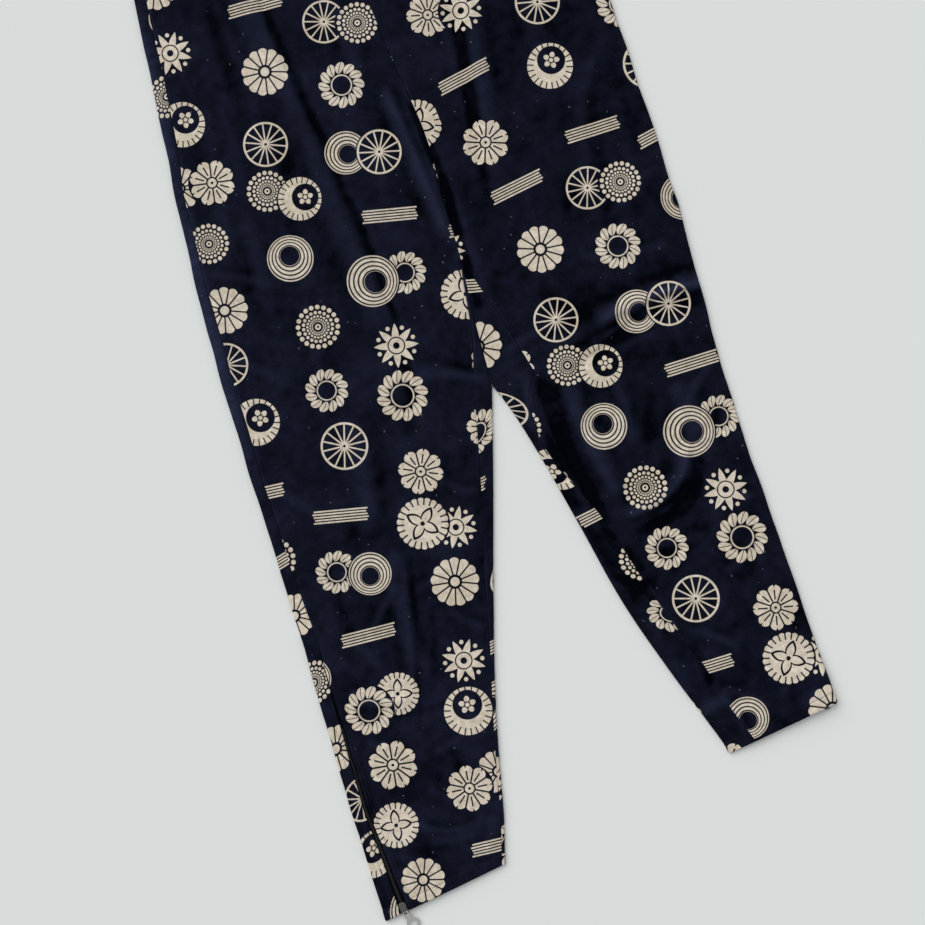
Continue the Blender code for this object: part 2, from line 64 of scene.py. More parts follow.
# How far a fold reaches in, its height, and how soon creases start beside it; the crown; how far
# the right hem's outer corner is raised, and within what distances; the width of a seam turning
EDGE_REACH, FOLD_HEIGHT, FOLD_FADE = 2.2 * MM, 4.4 * MM, 16 * MM
CROWN, CROWN_WIDTH, LOWEST_TOP = 1.3 * MM, 40 * MM, 2.8 * MM
LIFT, LIFT_FULL, LIFT_END = 3.0 * MM, 30 * MM, 75 * MM
TURNING = 10.5 * MM

# The waistband: its edges, its depth, where a crease counts as starting in it, its two rows of
# sewing, and its grid
BAND_TOP, BAND_FOOT, BAND_DEPTH, IN_BAND = 408 * MM, 372.3 * MM, 36 * MM, 358
BAND_SEWING = (4.5 * MM, 31.5 * MM)
BAND_ROWS = (0, 0.6, 1.4, 2.6, 3.6, 4.5, 5.4, 7, 10, 13, 16, 19, 22, 25, 28, 29.6, 30.4, 31.2, 32.2,
             33.6, 34.6, 35.2, 35.7)
BAND_COLUMNS = (190, 110)

# Grids: columns on the panels, and rows close to the waist seam and the hem
FRONT_COLUMNS, BACK_COLUMNS, FOLD_COLUMNS, TONGUE_COLUMNS = 96, 58, 8, 10
WAIST_ROWS = (0.5, 1.1, 2.0)
HEM_ROWS = (0.5, 1.1, 2.0, 4.4, 6.8, 8.8, 9.8, 10.6, 11.5, 12.4, 13.4, 15)

# Painted light and shade on the cloth, partly wear: the map's grid, its value for plain cloth, and the most that
# there is, which goes past the pale colour for painted highlights
LIGHT_MAP_STEP, LIGHT_MAP_LOW, LIGHT_MAP_HIGH = 2.5 * MM, (-0.310, -0.700), (0.300, 0.430)
PLAIN_LIGHT_AND_WEAR, BRIGHTEST_HIGHLIGHT = 0.43, 1.8

# Each side's turn of the grain in degrees, and where its front and its back lie on the print
CUT = {"left": (5.5, (0.31, 0.07), (1.11, 0.52)), "right": (-6.5, (0.055, 0.33), (1.72, 0.17))}

# The camera: the width of its film in millimetres, and the place that it looks down on
FILM, VIEW_MIDDLE = 36.0, (-0.0457, -0.0725)


def table_of(kind, *rows):
    """A table whose rows have named numbers."""
    return tuple(kind(*row) for row in rows)


Section = namedtuple("Section", "outer_x outer_y inner_x inner_y out_seam in_seam edge zip_half")
LEFT = table_of(
    Section,
    (-262, 372, -26, 372, 13, 0, 4.4, 0),
    (-271, 247, -14, 247, 14, 0, 4.4, 0),
    (-280, 123, 1, 123, 10, 0, 4.4, 0),
    (-285, 0, 0, 0, 13, 1, 4.4, 0),
    (-285, -67, -4, -67, 13, 5, 4.4, 0),
    (-284, -143, -5, -137, 12, 20, 4.4, 0),
    (-281, -249, -32, -236, 12, 14, 4.4, 0),
    (-279, -354, -60, -334, 16, 10, 4.4, 0),
    (-279, -450, -86, -428, 16, 3.6, 4.4, 1.7),
    (-278, -541, -107, -517, 16, 3.4, 4.4, 2.4),
    (-276, -611, -121, -587, 20, 3.4, 4.6, 3.0),
    (-275, -650, -131, -626, 22, 3.4, 4.8, 4.8),
    (-275, -662, -134, -638, 23, 3.4, 4.8, 5.0),
)
RIGHT = table_of(
    Section,
    (225, 372, -26, 372, -3, 0, 4.4, 0),
    (231, 247, -14, 247, -3, 0, 4.4, 0),
    (237, 123, 1, 123, -3, 0, 4.4, 0),
    (242, 0, 0, 0, -3, 1, 4.4, 0),
    (241, -63, -4, -67, -3, 27, 4.6, 0),
    (240, -128, -5, -137, -3, 48, 4.6, 0),
    (239, -153, 7, -167, -3, 22, 4.4, 0),
    (239, -199, 22, -218, -3, 9, 4.4, 0),
    (242, -282, 44, -308, -3, 25, 4.4, 0),
    (247, -368, 65, -398, -4, 32, 4.4, 1.7),
    (252, -460, 96, -491, -6, 34, 5.0, 2.4),
    (255, -520, 118, -549, -8, 29, 6.6, 3.0),
    (258, -557, 129, -579, -10, 30, 8.4, 4.8),
    (259, -569, 132, -590, -11, 31, 8.6, 5.0),
)
BAND = table_of(
    Section,
    (-259.4, 408, 223.3, 408, 0, 0, 4.4, 0),
    (-262, 372.3, 225, 372.3, 0, 0, 4.4, 0),
)
TABLES = {"left": LEFT, "right": RIGHT}

# Creases along bent lines: half widths to the left and right of the way that they run
Crease = namedtuple("Crease", "x0 y0 bend_x bend_y x1 y1 left right height")
MAIN_CREASES = table_of(
    Crease,
    (-152, 372, -118, 150, -98, -75, 15, 26, 2.4),
    (-134, 372, -104, 160, -84, -78, 8, 6, -0.8),
    (-86, -50, -90, -110, -104, -175, 14, 16, -1.6),
    (-190, 350, -182, 270, -184, 180, 14, 14, -1.4),
    (-30, 215, -14, 120, -5, 12, 7, 17, 3.5),
    (-2, 205, 8, 110, 4, 20, 12, 7, -1.2),
    (3, 8, 3, -22, 4, -60, 13, 11, -2.2),
    (92, 372, 76, 220, 62, 60, 20, 17, 2.2),
    (78, 372, 60, 200, 46, 50, 13, 12, -1.9),
    (280, -92, 190, -84, 116, -108, 8, 20, 4.6),
    (180, -92, 120, -98, 50, -128, 13, 21, 1.8),
    (242, -110, 160, -110, 66, -154, 15, 9, -2.2),
    (44, -132, 48, -225, 71, -318, 17, 7, -3.4),
    (72, -150, 74, -225, 98, -305, 20, 12, 3.0),
    (178, -252, 176, -312, 84, -314, 7, 18, 4.6),
    (186, -262, 186, -330, 90, -330, 15, 5, -2.8),
    (208, -308, 220, -322, 232, -336, 9, 8, 2.0),
    (-166, -120, -168, -180, -176, -260, 22, 20, 2.2),
    (-140, -140, -146, -190, -152, -250, 14, 14, -1.0),
    (-150, -270, -172, -330, -166, -420, 16, 15, 2.4),
    (-246, -410, -222, -428, -176, -440, 8, 11, 3.2),
    (-214, -566, -190, -592, -134, -584, 8, 11, 2.0),
    (-190, -532, -174, -548, -158, -560, 9, 9, 1.6),
)
SMALL_CREASES = table_of(
    Crease,
    (-4, -134, -40, -112, -92, -104, 7, 12, 1.5),
    (-8, -126, -52, -92, -110, -66, 8, 9, -1.0),
    (6, -112, 60, -92, 118, -84, 9, 7, 1.2),
    (12, -130, 70, -112, 128, -128, 6, 7, -0.9),
    (-270, 60, -232, 52, -196, 24, 9, 7, 1.1),
    (-272, -30, -236, -52, -206, -88, 9, 9, 1.1),
    (-262, -182, -236, -200, -214, -238, 8, 9, 1.0),
    (-92, -214, -72, -236, -46, -246, 7, 9, 1.2),
    (-96, -300, -112, -322, -152, -330, 8, 7, 1.1),
    (-118, -352, -104, -378, -82, -388, 7, 7, 1.2),
    (-236, -352, -214, -372, -204, -404, 8, 7, 0.9),
    (-246, -470, -216, -482, -196, -512, 7, 8, 1.2),
    (-226, -440, -190, -462, -132, -452, 7, 7, -0.9),
    (-132, -486, -148, -500, -178, -502, 6, 8, 1.1),
    (-244, -596, -226, -612, -196, -620, 6, 6, 1.0),
    (-176, -604, -160, -620, -138, -616, 6, 6, 0.9),
    (-250, -632, -222, -640, -190, -634, 5, 6, 0.8),
    (226, 196, 196, 178, 172, 132, 9, 10, 1.2),
    (232, 40, 196, 30, 164, -4, 8, 9, 1.1),
    (228, -40, 178, -46, 122, -30, 9, 8, 1.0),
    (232, -176, 204, -196, 178, -236, 7, 9, 1.4),
    (224, -232, 206, -250, 188, -254, 7, 6, -1.0),
    (120, -150, 132, -196, 122, -246, 11, 10, 1.3),
    (100, -346, 138, -362, 190, -352, 8, 8, 1.2),
    (226, -368, 206, -396, 176, -402, 7, 8, 1.1),
    (112, -412, 134, -430, 172, -430, 7, 6, -0.9),
    (120, -448, 146, -458, 180, -488, 8, 7, 1.2),
    (238, -430, 222, -452, 196, -462, 7, 7, 1.0),
    (140, -520, 164, -530, 190, -556, 6, 7, 1.1),
    (232, -520, 214, -530, 198, -556, 6, 7, 1.0),
    (-212, 120, -206, 60, -216, -8, 13, 15, 1.2),
    (-60, 330, -54, 270, -50, 190, 14, 12, 1.3),
    (152, 360, 140, 260, 142, 150, 15, 14, 1.3),
    (186, 150, 170, 70, 168, -30, 13, 13, -1.0),
    (-232, -264, -226, -320, -228, -368, 11, 11, -0.9),
)
LINE_CREASES = table_of(
    Crease,
    (-134, 355, -130, 304, -120, 225, 5, 3, -1.3),
    (-123, 235, -109, 182, -100, 134, 5, 4, -1.1),
    (-100, 103, -95, 79, -90, 46, 5, 3.0, -1.7),
    (-91, 55, -88, -2, -85, -52, 5, 3.4, -1.6),
    (-86, -43, -86, -91, -95, -150, 7, 6, -0.9),
    (-7, 186, -3, 138, 3, 96, 8, 3.5, -3.0),
    (2, 105, 1, 64, 5, 16, 11, 4, -3.4),
    (4, 26, 7, -2, 2, -43, 6, 4, -2.4),
    (-153, 170, -160, 115, -168, 56, 12, 12, -1.0),
    (-194, 238, -192, 158, -193, 108, 10, 10, -0.9),
    (71, 274, 69, 207, 53, 122, 12, 12, -0.8),
    (-141, -267, -156, -301, -169, -333, 8, 8, -0.8),
    (-146, -277, -165, -377, -179, -436, 6, 5, 0.5),
    (-143, -289, -159, -379, -187, -492, 7, 4, -0.7),
    (-133, -342, -139, -385, -156, -436, 7, 7, -0.7),
    (-160, -314, -180, -328, -206, -363, 7, 7, 1.5),
    (-243, -409, -219, -426, -183, -437, 5, 3, -2.2),
    (-249, -424, -217, -437, -181, -445, 6, 7, 1.3),
    (-186, -533, -173, -551, -150, -550, 5, 8, -1.8),
    (-207, -568, -183, -591, -140, -583, 6, 4, -2.2),
    (-207, -589, -179, -599, -141, -597, 5, 9, 1.4),
    (-127, -582, -143, -603, -146, -630, 10, 10, 1.2),
    (-224, -612, -222, -628, -220, -643, 6, 6, -1.2),
    (-156, -498, -149, -522, -153, -552, 8, 8, -0.8),
    (-222, -505, -220, -519, -219, -533, 4, 4, 1.0),
    (167, -93, 206, -91, 249, -96, 8, 5, 2.2),
    (162, -109, 187, -105, 230, -108, 4, 11, -2.6),
    (170, -107, 137, -123, 104, -140, 8, 4, -1.9),
    (107, -139, 89, -145, 69, -159, 6, 4, -1.2),
    (170, -117, 179, -122, 192, -123, 3, 3, 0.9),
    (47, -299, 57, -342, 72, -387, 9, 6, -2.0),
    (35, -136, 25, -168, 24, -200, 4, 5, 1.6),
    (156, -177, 153, -219, 137, -253, 11, 13, -0.8),
    (184, -183, 190, -232, 194, -267, 16, 14, 1.4),
    (220, -314, 224, -323, 229, -333, 3, 4, 1.5),
    (218, -238, 220, -254, 218, -269, 5, 5, -1.0),
    (108, -360, 152, -365, 183, -342, 15, 15, -1.2),
    (123, -460, 131, -479, 134, -522, 8, 6, -1.4),
    (157, -524, 156, -554, 164, -585, 6, 5, -1.3),
    (109, -539, 133, -535, 150, -530, 10, 10, 1.5),
    (238, -545, 240, -561, 241, -579, 14, 12, 1.5),
    (78, -420, 93, -434, 97, -455, 5, 6, 1.0),
    (96, -403, 100, -415, 103, -434, 6, 6, -1.3),
    (-220, 256, -233, 159, -238, 70, 12, 12, 0.8),
    (-171, -27, -186, -102, -198, -177, 14, 14, 0.9),
    (-166, -141, -176, -217, -202, -277, 12, 12, -0.9),
    (162, 180, 151, 94, 118, 2, 14, 12, -0.8),
    (205, 134, 206, 67, 201, 1, 13, 12, 0.9),
)
# Strokes of painted light on the map, or of painted shade where the last number is below zero
LIGHT_STROKES = table_of(
    Crease,
    (53, -143, 37, -211, 42, -306, 26, 16, -0.50),
    (66, -290, 74, -345, 108, -410, 16, 22, -0.38),
    (91, -287, 143, -304, 184, -306, 22, 18, -0.28),
    (73, -134, 136, -147, 196, -153, 14, 24, -0.20),
    (54, -314, 65, -354, 86, -409, 14, 12, -0.25),
    (169, -307, 157, -363, 120, -376, 26, 26, -0.25),
    (190, -178, 196, -234, 203, -281, 22, 22, 0.22),
    (113, -533, 130, -536, 150, -530, 14, 14, 0.30),
    (216, -556, 236, -562, 261, -565, 16, 16, 0.30),
    (77, -415, 98, -475, 120, -531, 12, 12, 0.18),
    (64, -146, 118, -133, 188, -106, 8, 17, -0.24),
    (205, -94, 229, -95, 258, -99, 9, 9, 0.36),
    (-57, 153, -64, 77, -69, 15, 22, 22, 0.13),
    (-240, 132, -254, 41, -264, -61, 26, 26, 0.15),
    (29, 97, 26, 17, 25, -88, 20, 15, -0.16),
    (85, 304, 69, 207, 49, 105, 15, 14, -0.12),
    (-121, -446, -130, -533, -143, -626, 16, 16, 0.15),
    (-43, -215, -67, -315, -87, -409, 12, 12, -0.12),
    (-269, 338, -273, 260, -276, 180, 14, 14, 0.62),
    (-270, 147, -285, 16, -280, -133, 13, 12, 0.60),
    (66, -39, 85, -90, 131, -101, 20, 20, -0.15),
    (-282, -519, -278, -592, -268, -647, 10, 8, -0.25),
    (-257, -466, -257, -508, -259, -575, 10, 6, -0.20),
    (-256, -261, -243, -333, -249, -409, 16, 16, 0.10),
    (52, -204, 88, -236, 123, -269, 24, 24, 0.08),
)
UNDER_CREASES = table_of(
    Crease,
    (-150, 360, -128, 200, -118, 20, 22, 22, 0.9),
    (70, 360, 62, 200, 40, 10, 20, 20, 0.9),
    (-262, -60, -190, -96, -70, -110, 16, 18, 0.9),
    (226, -70, 150, -92, 50, -104, 16, 18, 0.9),
    (-240, -250, -190, -290, -110, -300, 14, 16, 0.8),
    (206, -240, 170, -280, 90, -276, 14, 16, 0.8),
    (-236, -450, -196, -476, -132, -470, 13, 13, 0.8),
    (220, -400, 190, -424, 124, -420, 12, 14, 0.8),
    (-226, -560, -190, -580, -150, -574, 11, 12, 0.7),
    (226, -500, 190, -520, 150, -530, 11, 12, 0.7),
)


def distance(name, description, default, **limits):
    return FloatProperty(name=name, description=description, default=default, unit="LENGTH", **limits)


def tint(name, description, default):
    return FloatVectorProperty(name=name, description=description, default=default,
                               subtype="COLOR", size=3, min=0, max=1)


class ClothValues(bpy.types.PropertyGroup):
    wall: distance("Wall", "Thickness of one layer of cloth", 0.9 * MM, min=0.0003)
    spacing: distance("Grid spacing", "Distance between the rows of the underside's grid", 3.4 * MM, min=0.001)
    fine: distance("Upper grid spacing", "Distance between the rows of the upper layer's grid", 2.5 * MM,
                   min=0.001)
    # navy is the colour of the painted shade in the hollows; the colour after it is that of painted light on the
    # ridges, partly rubbed cloth
    navy: tint("Ground", "Colour of the cloth in the hollows", (0.0003, 0.0006, 0.0022))
    lit_and_worn: tint("Lit and worn ground", "Colour of the cloth where folds are painted lit, and rubbed", (0.0130, 0.0156, 0.0345))
    cream: tint("Print", "Colour of the printed motifs", (0.860, 0.776, 0.668))
    repeat_across: distance("Repeat across", "Distance between columns of motifs", 92 * MM)
    repeat_down: distance("Repeat down", "Distance between rows of motifs", 138 * MM)
    roundel: distance("Roundel radius", "Radius of an ordinary roundel", 25 * MM)
    weave: distance("Weave", "Distance between threads", 0.55 * MM)


class StitchValues(bpy.types.PropertyGroup):
    length: distance("Stitch", "Length of one stitch", 2.6 * MM)
    gap: distance("Gap", "Gap between stitches", 0.5 * MM)
    thread: distance("Thread", "Radius of the thread", 0.22 * MM)
    hem_depth: distance("Hem", "Depth of the hem turning", 11.5 * MM)
    colour: tint("Thread colour", "Colour of the sewing thread", (0.012, 0.013, 0.026))


class ZipValues(bpy.types.PropertyGroup):
    pitch: distance("Tooth pitch", "Distance between teeth on one side", 2.4 * MM)
    reach: distance("Tooth reach", "Half the width of the closed chain", 2.1 * MM)
    tab_thick: distance("Tab thickness", "Thickness of a pull tab", 1.2 * MM)
    coil: tint("Coil colour", "Colour of the zip's coil", (0.0028, 0.0028, 0.0032))
    nickel: tint("Nickel", "Colour of the plated metal", (0.62, 0.61, 0.59))


class StageValues(bpy.types.PropertyGroup):
    floor: tint("Floor colour", "Colour of the surface under the trousers", (0.765, 0.787, 0.781))
    sky: FloatProperty(name="Fill light", description="Strength of the even light from all round",
                       default=0.500, min=0)
    sun: FloatProperty(name="Key light", description="Strength of the soft light from the upper left",
                       default=1.865, min=0)
    width: distance("View width", "Width of the floor that the camera sees", 0.999)
    tilt: FloatProperty(name="View tilt", description="Turn of the camera about its line of sight",
                        default=radians(-16), subtype="ANGLE")
    lens: FloatProperty(name="Lens", description="Focal length in millimetres", default=85.0)


class TrousersValues(bpy.types.PropertyGroup):
    cloth: PointerProperty(type=ClothValues)
    stitch: PointerProperty(type=StitchValues)
    zips: PointerProperty(type=ZipValues)
    stage: PointerProperty(type=StageValues)


def values():
    return bpy.context.scene.ankle_zip_trousers


# Numbers along and across

def column(table, name):
    """One named column of a table, in metres."""
    return np.array([getattr(row, name) for row in table], dtype=float) * MM


def smooth(value):
    """0 below zero, 1 above one, and an even S between."""
    value = np.clip(value, 0, 1)
    return value * value * (3 - 2 * value)


def bump_at(distance, width):
    """A round bump: 1 at no distance, dying out over about twice the width."""
    return np.exp(-(distance / width) ** 2)


def bent(value, power):
    """A number raised to a power, with its sign kept."""
    return np.sign(value) * np.abs(value) ** power


def unit(vectors):
    """Vectors along the last axis, each made one long."""
    return vectors / np.maximum(np.linalg.norm(vectors, axis=-1, keepdims=True), 1e-12)


def through(at, numbers, where):
    """A curve through the knots that never overshoots: cubic pieces whose slope at a knot is the
    harmonic mean of the slopes on both sides, or nothing where they differ in sign."""
    step = np.diff(at)
    rise = np.diff(numbers) / step
    slope = np.zeros(len(numbers))
    same = rise[:-1] * rise[1:] > 0
    wide, narrow = 2 * step[1:] + step[:-1], step[1:] + 2 * step[:-1]
    before, after = np.where(same, rise[:-1], 1), np.where(same, rise[1:], 1)
    slope[1:-1] = np.where(same, (wide + narrow) / (wide / before + narrow / after), 0)
    slope[0], slope[-1] = rise[0], rise[-1]
    i = np.clip(np.searchsorted(at, where, side="right") - 1, 0, len(at) - 2)
    step = at[i + 1] - at[i]
    t = (where - at[i]) / step
    keep = numbers[i] * (1 + 2 * t) * (1 - t) ** 2 + numbers[i + 1] * t * t * (3 - 2 * t)
    return keep + step * (slope[i] * t * (1 - t) ** 2 - slope[i + 1] * t * t * (1 - t))


def waves(x, y, length, seed, count=9):
    """Uneven ripples from -1 to 1: the sum of a few sine waves of nearly one length, each with its
    own direction and start, drawn from a seeded generator."""
    draw = np.random.default_rng(seed)
    turn, start = draw.uniform(0, 2 * pi, count), draw.uniform(0, 2 * pi, count)
    lengths = length * draw.uniform(0.7, 1.5, count)
    total = sum(np.sin(2 * pi * (x * np.cos(a) + y * np.sin(a)) / l + s)
                for a, l, s in zip(turn, lengths, start))
    return total / (0.55 * count)


def crease_height(x, y, crease, points=17, end=0.18):
    """Height of one crease: a rounded section across a bent line, with its own half width on each
    side, that dies out over the ends of the line unless it starts in the waistband."""
    t = np.linspace(0, 1, points)
    line_x, line_y = (((1 - t) ** 2 * first + 2 * t * (1 - t) * bend + t * t * last) * MM
                      for first, bend, last in ((crease.x0, crease.bend_x, crease.x1),
                                                (crease.y0, crease.bend_y, crease.y1)))
    reach = max(crease.left, crease.right) * MM
    result = np.zeros(x.shape)
    near = ((x > line_x.min() - reach) & (x < line_x.max() + reach)
            & (y > line_y.min() - reach) & (y < line_y.max() + reach))
    px, py = x[near], y[near]
    best, along, side = np.full(px.shape, 1e9), np.zeros(px.shape), np.zeros(px.shape)
    for i, (dx, dy) in enumerate(zip(np.diff(line_x), np.diff(line_y))):
        share = np.clip(((px - line_x[i]) * dx + (py - line_y[i]) * dy) / (dx * dx + dy * dy), 0, 1)
        off_x, off_y = px - line_x[i] - share * dx, py - line_y[i] - share * dy
        apart = np.hypot(off_x, off_y)
        nearer = apart < best
        along = np.where(nearer, t[i] + share * t[1], along)
        side = np.where(nearer, dx * off_y - dy * off_x, side)
        best = np.where(nearer, apart, best)
    width = np.where(side > 0, crease.left, crease.right) * MM
    across = np.clip(1 - (best / width) ** 2, 0, 1) ** 2
    ends = smooth((1 - along) / end)
    if crease.y0 < IN_BAND:
        ends = ends * smooth(along / end)
    result[near] = crease.height * MM * across * ends
    return result


def top_relief(x, y):
    """Height of the upper layer's creases and ripples over its plain crown."""
    total = sum(crease_height(x, y, crease) for crease in MAIN_CREASES + LINE_CREASES + SMALL_CREASES)
    total = total + 0.42 * MM * waves(x, y, 62 * MM, 3) + 0.20 * MM * waves(x, y, 21 * MM, 4)
    total = total + 0.07 * MM * waves(x, y, 9 * MM, 5, 13)
    gather = smooth((y - 0.300) / 0.072)
    return total + 0.55 * MM * gather * waves(x, y * 0.12, 12 * MM, 6)


def under_relief(x, y):
    """Height of the creases in the lower layer, where it lifts off the surface under it."""
    total = sum(crease_height(x, y, crease) for crease in UNDER_CREASES)
    total = total + 0.16 * MM * (1 + waves(x, y, 34 * MM, 8)) + 0.05 * MM * (1 + waves(x, y, 12 * MM, 9))
    return np.clip(total, 0, 0.8 * MM)


def fold_length(height):
    """About how long a fold's half ellipse is."""
    return pi * np.sqrt((EDGE_REACH ** 2 + (height / 2) ** 2) / 2)


class Rings:
    """Rows of half the garment, each a flattened ring of cloth. A place on a ring is its distance
    along the cloth: 0 where the outer fold leaves the underside, then over the fold, across the
    top, round the inner fold and back along the underside."""

    def __init__(self, table, down, side, legs=True):
        self.down, self.legs = down, legs
        self.sign = 1 if side == "left" else -1
        knots = -column(table, "inner_y")
        spans = ((0, 4), (3, 6), (5, len(table))) if legs else ((0, len(table)),)
        for name in Section._fields:
            numbers, read = column(table, name), np.empty(len(down))
            for first, end in spans:
                inside = (down >= knots[first] - 1e-9) & (down <= knots[end - 1] + 1e-9)
                read[inside] = through(knots[first:end], numbers[first:end], down[inside])
            setattr(self, name, read)
        self.folded = down >= CROTCH - 1e-9 if legs else np.ones(len(down), bool)
        self.has_tongue = down >= -1e-9 if legs else self.folded
        self.in_seam = np.where(self.has_tongue, self.in_seam, 0)
        sway = waves(down, down * 0, 74 * MM, 21 if side == "left" else 22)
        fade = smooth((down - knots[0]) / 0.05) * smooth((knots[-1] - down) / 0.04) if legs else 0
        self.outer_x = self.outer_x + 0.8 * MM * sway * fade
        self.outer = np.stack([self.outer_x, self.outer_y], axis=1)
        run = np.stack([self.inner_x, self.inner_y], axis=1) - self.outer
        whole = np.linalg.norm(run, axis=1)
        self.width = whole - 0.05 * MM
        self.across = run / whole[:, None]
        self.outer_arc = fold_length(self.edge - self.lift(self.outer_x, self.outer_y))
        self.inner_reach = np.where(self.folded, EDGE_REACH, 0)
        self.inner_arc = np.where(self.folded, fold_length(FOLD_HEIGHT), 0)
        self.flat = self.width - EDGE_REACH - self.inner_reach
        self.top_end = self.outer_arc + self.flat
        self.turn = self.top_end + self.inner_arc
        self.round = self.turn + self.flat

    def lift(self, x, y):
        """How far the underside is raised, only round the right hem's outer corner."""
        near = np.hypot(x - RIGHT[-1].outer_x * MM, y - RIGHT[-1].outer_y * MM)
        return LIFT * (1 - smooth((near - LIFT_FULL) / (LIFT_END - LIFT_FULL)))

    def outer_seam(self):
        return np.where(self.out_seam < 0, self.out_seam, self.outer_arc + self.out_seam - EDGE_REACH)

    def inner_seam(self):
        return self.top_end - self.in_seam + self.inner_reach

    def place(self, along):
        """World points of places along the rings: half ellipses at the folds, the crown and creases
        on top, and the lower layer resting flat but for its shallow creases."""
        flat, outer_arc, turn, top_end, inner_arc, whole, full, reach_in, height, folded = (
            numbers[:, None] for numbers in (self.flat, self.outer_arc, self.turn, self.top_end, self.inner_arc,
                                             self.round, self.width, self.inner_reach, self.edge, self.folded))
        along = np.where(along < 0, along + whole, along)
        along = np.where(along > whole, along - whole, along)
        on_outer, on_inner = along < outer_arc, (along > top_end) & (along < turn)
        on_top = (along >= outer_arc) & (along <= top_end)
        outer_angle = pi * (along / outer_arc - 0.5)
        inner_angle = pi * (0.5 - (along - top_end) / np.maximum(inner_arc, 1e-6))
        inward = np.select(
            [on_outer, on_top, on_inner],
            [EDGE_REACH * (1 - np.cos(outer_angle)), EDGE_REACH + along - outer_arc,
             full - reach_in * (1 - np.cos(inner_angle))],
            full - reach_in - (along - turn))
        x, y = np.moveaxis(self.outer[:, None] + self.across[:, None] * inward[:, :, None], 2, 0)
        lift = self.lift(x, y)
        share = np.clip((along - outer_arc) / flat, 0, 1)
        edge = height * (1 - share) + FOLD_HEIGHT * share
        inner_side = top_end - along
        if self.legs:
            from_crotch = np.hypot(x - CROTCH_POINT[0], y - CROTCH_POINT[1])
            inner_side = np.where(folded, inner_side, from_crotch)
        near = np.minimum(inner_side, along - outer_arc)
        top, under = np.zeros(x.shape), np.zeros(x.shape)
        top[on_top] = top_relief(x[on_top], y[on_top])
        top = edge + CROWN * smooth(near / CROWN_WIDTH) + top * smooth(near / FOLD_FADE)
        below = ~(on_top | on_outer | on_inner)
        under[below] = under_relief(x[below], y[below])
        under = under * smooth(np.minimum(whole - along, np.where(folded, along - turn, 1)) / (12 * MM))
        z = np.select(
            [on_outer, on_top, on_inner],
            [lift + (edge - lift) * (1 + np.sin(outer_angle)) / 2, np.maximum(top, LOWEST_TOP),
             lift + (edge - lift) * (1 + np.sin(inner_angle)) / 2],
            lift + under)
        return np.stack([x, y, z], axis=2)


def near_steps(whole, offsets):
    """Distances of the first columns from a seam, drawn in where the panel is narrow."""
    return np.array(offsets)[None, :] * MM * np.minimum(1, whole[:, None] / (3 * offsets[-1] * MM))


def columns_between(start, end, count, near=(0.0, 0.5, 1.1, 2.0, 3.4, 5.4, 8.0)):
    """Columns from start to end for every row: close together by both seams, even between."""
    close = near_steps(end - start, near)
    share = np.linspace(0, 1, count + 1)[None, 1:-1]
    low, high = start + close[:, -1], end - close[:, -1]
    middle = low[:, None] + (high - low)[:, None] * share
    return np.concatenate([start[:, None] + close, middle, end[:, None] - close[:, ::-1]], axis=1)


def even(start, end, count, power=1.0):
    """Columns after start up to and with end, closer to the start for a power above one."""
    share = (np.arange(1, count + 1) / count) ** power
    return start[:, None] + (end - start)[:, None] * share[None, :]


def row_places(first, last, spacing, exact):
    """Distances down the garment of the grid's rows, close together at the waist seam and hem."""
    rows = np.linspace(first, last, max(2, int(round((last - first) / spacing))) + 1)
    rows = [d for d in rows if first + 3 * MM < d < last - 16 * MM]
    rows += [first + d * MM for d in WAIST_ROWS] + [last - d * MM for d in HEM_ROWS]
    rows = [d for d in rows if min(abs(d - one) for one in exact) > 0.4 * MM]
    return np.array(sorted(rows + exact))


def rings_for(side, spacing=None):
    """Rows all the way down one side, with one on the fork, the crotch and the hem's stitches."""
    first, last = -TABLES[side][0].inner_y * MM, -TABLES[side][-1].inner_y * MM
    exact = [first, last, 0.0, CROTCH - 1.2 * MM, CROTCH, CROTCH + 1.2 * MM, last - values().stitch.hem_depth]
    return Rings(TABLES[side], row_places(first, last, spacing or values().cloth.spacing, exact), side)


def normals_of(points, sign):
    """Unit normals of a grid of points, from the cross product of its two directions."""
    return unit(np.cross(np.gradient(points, axis=0), np.gradient(points, axis=1)) * sign)


def above_floor(points, height=0.02 * MM):
    """A grid of points with none lower than a little above the surface under the trousers."""
    points[:, :, 2] = np.maximum(points[:, :, 2], height)
    return points


def sewn(points, rings, from_edges):
    """Sinks the cloth into its seams, raises it over the turnings inside, puckers it along the
    sewing and thickens the hem. from_edges gives each point's distance to its panel's seams."""
    down = rings.down[:, None]
    x, y = points[:, :, 0], points[:, :, 1]
    move = np.zeros(points.shape[:2])
    for number, apart in enumerate(from_edges):
        apart = np.abs(apart)
        pull = waves(x * 0.2, y, 11 * MM, 31 + number)
        move -= 0.34 * MM * bump_at(apart, 0.8 * MM)
        move += 0.34 * MM * smooth((TURNING - apart) / (2.2 * MM)) * smooth(apart / (1.5 * MM))
        move += 0.20 * MM * pull * np.exp(-apart / (7 * MM))
    move -= 0.75 * MM * bump_at(down - rings.down.min(), 0.8 * MM)
    up = rings.down.max() - down
    from_stitches = up - values().stitch.hem_depth
    pull = waves(x, y * 0.25, 10 * MM, 41)
    move += 0.40 * MM * smooth((0.6 * MM - from_stitches) / (1.2 * MM))
    move -= 0.36 * MM * bump_at(from_stitches, 0.9 * MM)
    move += 0.22 * MM * pull * bump_at(from_stitches, 9 * MM)
    move -= 0.55 * MM * bump_at(up, 0.9 * MM)
    return above_floor(points + normals_of(points, rings.sign) * move[:, :, None])


# Meshes

def grid_faces(rows, columns, used=None):
    """Corner numbers of a grid's square faces, as many as are used."""
    number = np.arange(rows * columns).reshape(rows, columns)
    faces = np.stack([number[:-1, :-1], number[1:, :-1], number[1:, 1:], number[:-1, 1:]], axis=2)
    return faces.reshape(-1, 4) if used is None else faces[used].reshape(-1, 4)


